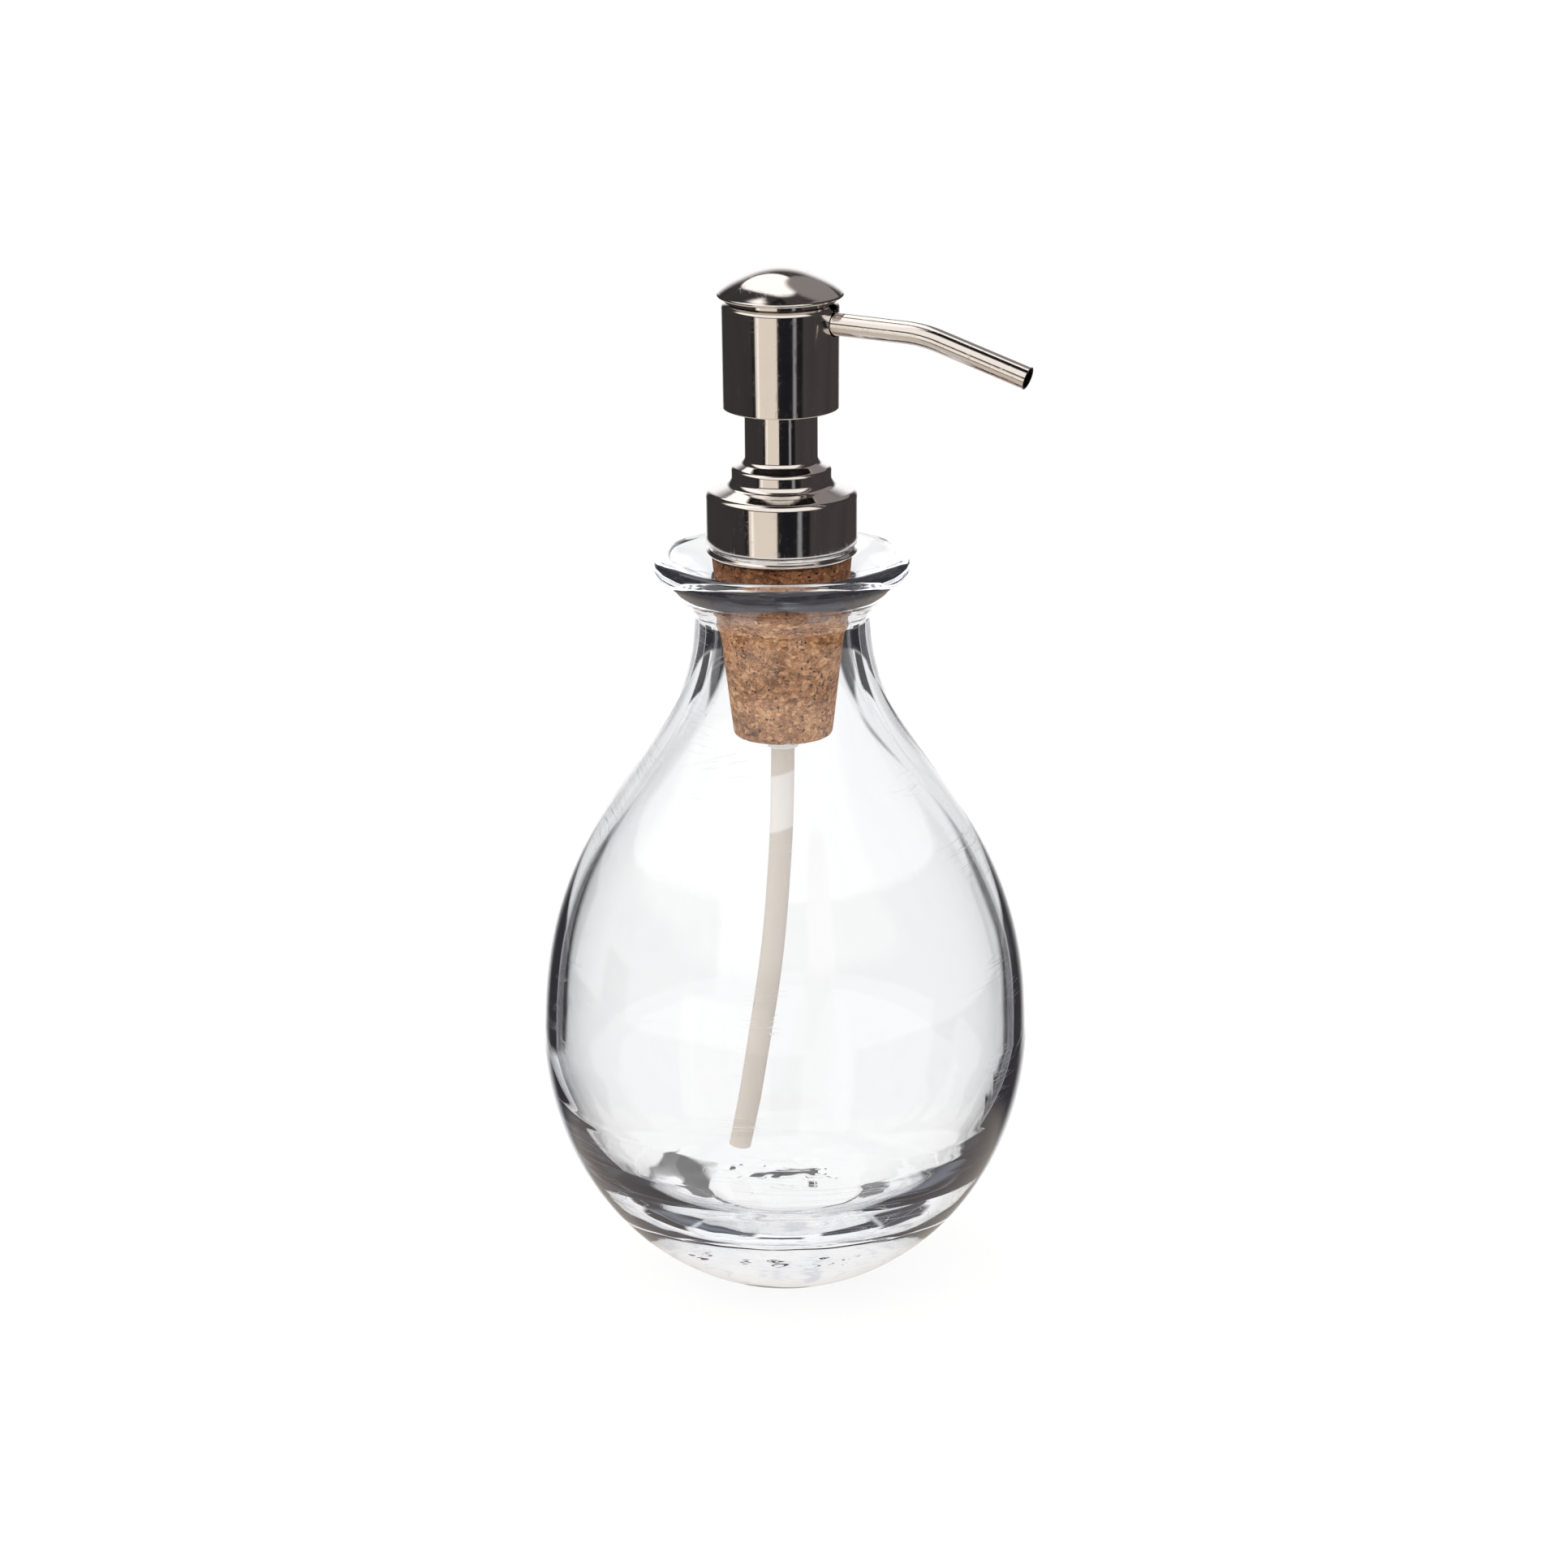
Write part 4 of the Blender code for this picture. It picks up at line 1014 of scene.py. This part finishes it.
shell = turned("steel_head", rounded([
    (SKIRT_RADIUS - HEAD_WALL, SKIRT, 0.25),
    (SKIRT_RADIUS, SKIRT, 0.25),
    (HEAD_TOP_RADIUS, SHELL_TOP, 1.3),
    (HEAD_TOP_RADIUS - MOUTH_LIP, SHELL_TOP, 0.15),
    (HEAD_TOP_RADIUS - MOUTH_LIP, SHELL_TOP - HEAD_WALL, 0.15),
    (HEAD_TOP_RADIUS - HEAD_WALL, SHELL_TOP - 2 * HEAD_WALL, 0.4),
]), steel, sides=224)
punch = turned("punch", [(0, 0), (SPOUT_FIT, 0), (SPOUT_FIT, 30), (0, 30)], steel, sides=64)
punch.matrix_world = (
    Matrix.Translation((0, 0, SPOUT_HEIGHT * MM)) @ Matrix.Rotation(pi / 2 + SPOUT_FALL, 4, "Y")
)
bm = bmesh.new()
bmesh.ops.create_cube(bm, size=1.0)
bmesh.ops.scale(bm, verts=bm.verts, vec=(
    2 * HEAD_TOP_RADIUS * MM, SLOT_WIDTH * MM, 2 * (SHELL_TOP - SPOUT_HEIGHT) * MM
))
slot_mesh = bpy.data.meshes.new("slot")
bm.to_mesh(slot_mesh)
bm.free()
slot = in_scene("slot", slot_mesh)
slot.location = (HEAD_TOP_RADIUS * MM, 0, SHELL_TOP * MM)
shell = cut_out(shell, punch, slot)
on_body(shell, "head", "polished_steel", "head_shell")
print("head shell:", len(shell.data.polygons), "faces")

# %% Domed cap
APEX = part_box("dome_cap")[1].z / MM
CAP_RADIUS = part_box("dome_cap")[1].x / MM
CAP_RISE = 5.6
CAP_BAND_RADIUS = 11.9
edge = APEX - CAP_RISE
bulge = (CAP_RADIUS**2 + CAP_RISE**2) / (2 * CAP_RISE)
spread = degrees(asin(CAP_RADIUS / bulge))
GAP = 0.3
CAP_WALL = 0.9
SPIGOT_WALL = 0.8
spigot = HEAD_TOP_RADIUS - MOUTH_LIP - GAP
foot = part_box("dome_cap")[0].z / MM
inner = bulge - CAP_WALL
inner_spread = degrees(asin((spigot - SPIGOT_WALL) / inner))
cap_centre = (0, APEX - bulge)
cap_outline = arc(cap_centre, inner, 90, 90 - inner_spread, 24)
cap_outline[0].x = 0
cap_outline += [
    Vector((spigot - SPIGOT_WALL, foot)), Vector((spigot, foot)),
    Vector((spigot, SHELL_TOP + GAP)), Vector((CAP_BAND_RADIUS, SHELL_TOP + GAP)),
    Vector((CAP_BAND_RADIUS, edge - 0.7)),
]
rim_turn = 90 - spread + 1.6
rim_start = arc(cap_centre, bulge, rim_turn, 90, 1)[0]
cap_outline += curve(
    (CAP_RADIUS - 0.7, edge - 0.55), (CAP_RADIUS + 0.05, edge - 0.5),
    (CAP_RADIUS + 0.08, edge + 0.1), rim_start, 8,
)
cap_outline += arc(cap_centre, bulge, rim_turn, 90, 40)[1:]
cap_outline[-1].x = 0
cap = turned("steel_dome", cap_outline, steel)
on_body(cap, "head", "polished_steel", "dome_cap")


# %% [markdown]
# ## Spout
#
# A thin steel tube leaves the head nearly level and is bent down over a former. It is swept
# here as rings along its line: a circle outside and a circle inside, joined at the two ends.
# A bevelled curve would be quicker, but it has no inside, and the open tip shows one.

# %% Sweep helper and spout
def swept(name, path, outer, inner, material, sides=64):
    """A round tube with a bore along a path of (x, z) points in millimetres, in the plane y = 0."""
    bm = bmesh.new()
    rings = []
    for index, point in enumerate(path):
        before, after = path[max(index - 1, 0)], path[min(index + 1, len(path) - 1)]
        along_path = (after - before).normalized()
        across = Vector((-along_path.y, 0, along_path.x))
        pair = []
        for radius in (outer, inner):
            ring = []
            for step in range(sides):
                angle = 2 * pi * step / sides
                spoke = across * cos(angle) + Vector((0, 1, 0)) * sin(angle)
                centre = Vector((point.x, 0, point.y))
                ring.append(bm.verts.new((centre + spoke * radius) * MM))
            pair.append(ring)
        rings.append(pair)
    walls = [(a[i], b[i]) for a, b in zip(rings, rings[1:]) for i in (0, 1)]
    walls += [tuple(rings[0]), tuple(rings[-1])]
    for first, second in walls:
        for step in range(sides):
            after = (step + 1) % sides
            bm.faces.new((first[step], first[after], second[after], second[step]))
    mesh = bpy.data.meshes.new(name)
    bm.to_mesh(mesh)
    bm.free()
    made = shown(name, mesh, material)
    print(f"{name}: {len(made.data.polygons)} faces")
    return made


BEND_AT = 32.2
BEND_RADIUS = 28.0
TIP_AT = 55.3
SPOUT_DROOP = radians(17.4)
first_run = Vector((cos(SPOUT_FALL), -sin(SPOUT_FALL)))
second_run = Vector((cos(SPOUT_DROOP), -sin(SPOUT_DROOP)))
source = Vector((0, SPOUT_HEIGHT))
corner = source + first_run * BEND_AT / first_run.x
tip = corner + second_run * (TIP_AT - BEND_AT) / second_run.x
reach_back = BEND_RADIUS * tan((SPOUT_DROOP - SPOUT_FALL) / 2)
bend_centre = (corner - first_run * reach_back + Vector((first_run.y, -first_run.x)) * BEND_RADIUS)
line = [source + first_run * 4.0]
line += arc(bend_centre, BEND_RADIUS, 90 - degrees(SPOUT_FALL), 90 - degrees(SPOUT_DROOP), 20)
line += [tip]
SPOUT_BORE = 2.05
spout = swept("steel_spout", divided(line, 1.5, loop=False), SPOUT_RADIUS, SPOUT_BORE, steel)
on_body(spout, "head", "polished_steel", "spout_tube")


# %% [markdown]
# ## Plastics
#
# The dip tube is milky polythene, seen through glass; the pump's hidden pieces are moulded.
# Moulded plastic is never one flat value: it has a faint flow pattern and a fine satin grain
# from the mould, so both the colour and the roughness wander a little.

# %% Plastic finishes
def moulded(name, dark, light, roughness, grain_scale=900.0, bump=0.12):
    material, tree, shader, place = finish(name)
    flow = noise_at(place, 90.0, 3.0, (1, 1, 0.3))
    grain = noise_at(place, grain_scale, 2.0)
    tint = blend_colour(flow, colour(*dark), colour(*light))
    tree.links.new(tint, shader.inputs["Base Color"])
    rough = plus(times(grain, 0.18), roughness - 0.09)
    tree.links.new(rough, shader.inputs["Roughness"])
    add_bump(shader, grain, bump, 0.00005)
    return material, tree, shader, place


white_plastic = moulded("white_plastic", (0.78, 0.78, 0.76), (0.88, 0.88, 0.86), 0.38)[0]
black_plastic = moulded("black_plastic", (0.016, 0.016, 0.017), (0.032, 0.032, 0.034), 0.42)[0]
soft_plastic = moulded("soft_plastic", (0.84, 0.84, 0.80), (0.92, 0.92, 0.89), 0.5, 500.0)[0]
seal_foam = moulded("seal_foam", (0.62, 0.60, 0.54), (0.82, 0.80, 0.74), 0.85, 2600.0, 0.6)[0]
ball_steel, _, ball_shader, _ = moulded(
    "ball_steel", (0.52, 0.52, 0.53), (0.66, 0.66, 0.66), 0.16, 1600.0, 0.05
)
ball_shader.inputs["Metallic"].default_value = 1.0
spring_steel, _, wire_shader, _ = moulded(
    "spring_steel", (0.42, 0.42, 0.44), (0.60, 0.60, 0.62), 0.30, 2200.0, 0.2
)
wire_shader.inputs["Metallic"].default_value = 1.0

tube_plastic, tree, shader, place = moulded(
    "tube_plastic", (0.60, 0.53, 0.47), (0.70, 0.63, 0.57), 0.40, 700.0, 0.10
)
tube_height = put(tree, "ShaderNodeSeparateXYZ", {0: place}).outputs
# Painted highlight: a slanted pale band on the tube stands in for a broad highlight on the glass in
# front of it.
slant = minus(tube_height["Z"], times(tube_height["X"], 0.35))
painted_highlight_band = window(slant, 0.0985, 0.1112, 0.0004)
tube_tone_and_highlight = shader.inputs["Base Color"].links[0].from_socket
tube_tone_and_highlight = blend_colour(times(painted_highlight_band, 0.8), tube_tone_and_highlight, colour(0.90, 0.84, 0.81))
tree.links.new(tube_tone_and_highlight, shader.inputs["Base Color"])
shader.inputs["Subsurface Weight"].default_value = 0.35
shader.inputs["Subsurface Radius"].default_value = (0.002, 0.0017, 0.0014)
shader.inputs["Subsurface Scale"].default_value = 1.0
print("finishes:", len(bpy.data.materials))


# %% [markdown]
# ## Dip tube
#
# The tube hangs from the pump's nipple and has kept the bend of its coil from the factory, so
# it leans away as it goes down. The nipple shows as a small ring under the cork.

# %% Dip tube
TUBE_RADIUS = 2.45
TUBE_WALL = 0.6
tube_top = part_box("dip_tube")[1].z / MM
tube_end = Vector((TUBE_RADIUS + 0.6 - BORE_RADIUS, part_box("dip_tube")[0].z / MM + 0.85))
drop = tube_top - tube_end.y
tube_line = [Vector((0, tube_top))] + curve(
    (0, tube_top), (0, tube_top - 0.48 * drop), (0.53 * tube_end.x, tube_end.y + 0.27 * drop),
    tube_end, 70,
)
tube = swept("milky_tube", tube_line, TUBE_RADIUS, TUBE_RADIUS - TUBE_WALL, tube_plastic, sides=48)
on_body(tube, "stopper", "tube_plastic", "dip_tube")


# %% [markdown]
# ## Return spring
#
# A compression spring is a helix whose end coils are wound shut so that it stands flat. The
# rule for its height has three parts: one tight turn, the open turns, one tight turn. The
# tree puts points on a line and moves each by that rule, then a round wire follows them.

# %% Spring tree
coil = bpy.data.node_groups.new("coil_spring", "GeometryNodeTree")
number_inputs(
    coil, bottom=0.0, top=0.02, coil_radius=0.005, wire_radius=0.0004, turns=7, steps_per_turn=40
)
given = put(coil, "NodeGroupInput").outputs
count = plus(times(given["Turns"], given["Steps Per Turn"]), 1.0)
row_of_points = put(coil, "GeometryNodeMeshLine", {"Count": count})
index = put(coil, "GeometryNodeInputIndex").outputs[0]
done = calc("DIVIDE", index, given["Steps Per Turn"])
tight = times(given["Wire Radius"], 2.3)
climb = minus(minus(given["Top"], given["Bottom"]), times(given["Wire Radius"], 2.0))
open_turns = minus(given["Turns"], 2.0)
open_pitch = calc("DIVIDE", minus(climb, times(tight, 2.0)), open_turns)
low = times(calc("MINIMUM", done, 1.0), tight)
after_first = calc("MAXIMUM", minus(done, 1.0), 0.0)
middle = times(calc("MINIMUM", after_first, open_turns), open_pitch)
last = calc("MAXIMUM", minus(after_first, open_turns), 0.0)
high = times(last, tight)
start = plus(given["Bottom"], given["Wire Radius"])
height_now = plus(plus(start, low), plus(middle, high))
angle = times(done, 2 * pi)
placed = put(coil, "ShaderNodeCombineXYZ", {
    "X": times(calc("COSINE", angle), given["Coil Radius"]),
    "Y": times(calc("SINE", angle), given["Coil Radius"]),
    "Z": height_now,
}).outputs[0]
wound = put(
    coil, "GeometryNodeSetPosition", {"Geometry": row_of_points.outputs[0], "Position": placed}
)
centreline = put(coil, "GeometryNodeMeshToCurve", {"Mesh": wound.outputs[0]})
wire = put(coil, "GeometryNodeCurvePrimitiveCircle", {"Resolution": 12})
coil.links.new(given["Wire Radius"], wire.inputs["Radius"])
body = put(coil, "GeometryNodeCurveToMesh", {
    "Curve": centreline.outputs[0], "Profile Curve": wire.outputs[0], "Fill Caps": True
})
finish_tree(coil, given, body.outputs[0])
print("coil spring:", len(coil.nodes), "nodes")

# %% Return spring
low_end, high_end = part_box("return_spring")
WIRE_RADIUS = 0.45 * MM
blank = bpy.data.meshes.new("blank")
spring = grown(
    "wire_spring", coil, blank, spring_steel, bottom=low_end.z, top=high_end.z,
    coil_radius=high_end.x - WIRE_RADIUS, wire_radius=WIRE_RADIUS, turns=7, steps_per_turn=40,
)
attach(spring, "stopper")
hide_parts("return_spring")
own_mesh(spring)


# %% [markdown]
# ## The hidden pieces
#
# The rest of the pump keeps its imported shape: it sits inside the collar, the cork and the
# head. Each piece gets the finish that its material slot in the record names, so that it also
# looks right when the pump is taken apart.

# %% Give each carried-over node its finish
finishes = {
    "white_plastic": white_plastic, "black_plastic": black_plastic, "soft_plastic": soft_plastic,
    "seal_foam": seal_foam, "ball_steel": ball_steel,
}
for subpart in frame["record"]["subparts"]:
    node = nodes[subpart["node"]]
    if subpart["material_slot"] in finishes and not node.hide_render:
        for material_slot in node.material_slots:
            material_slot.material = finishes[subpart["material_slot"]]
        print(subpart["node"], "->", subpart["material_slot"])
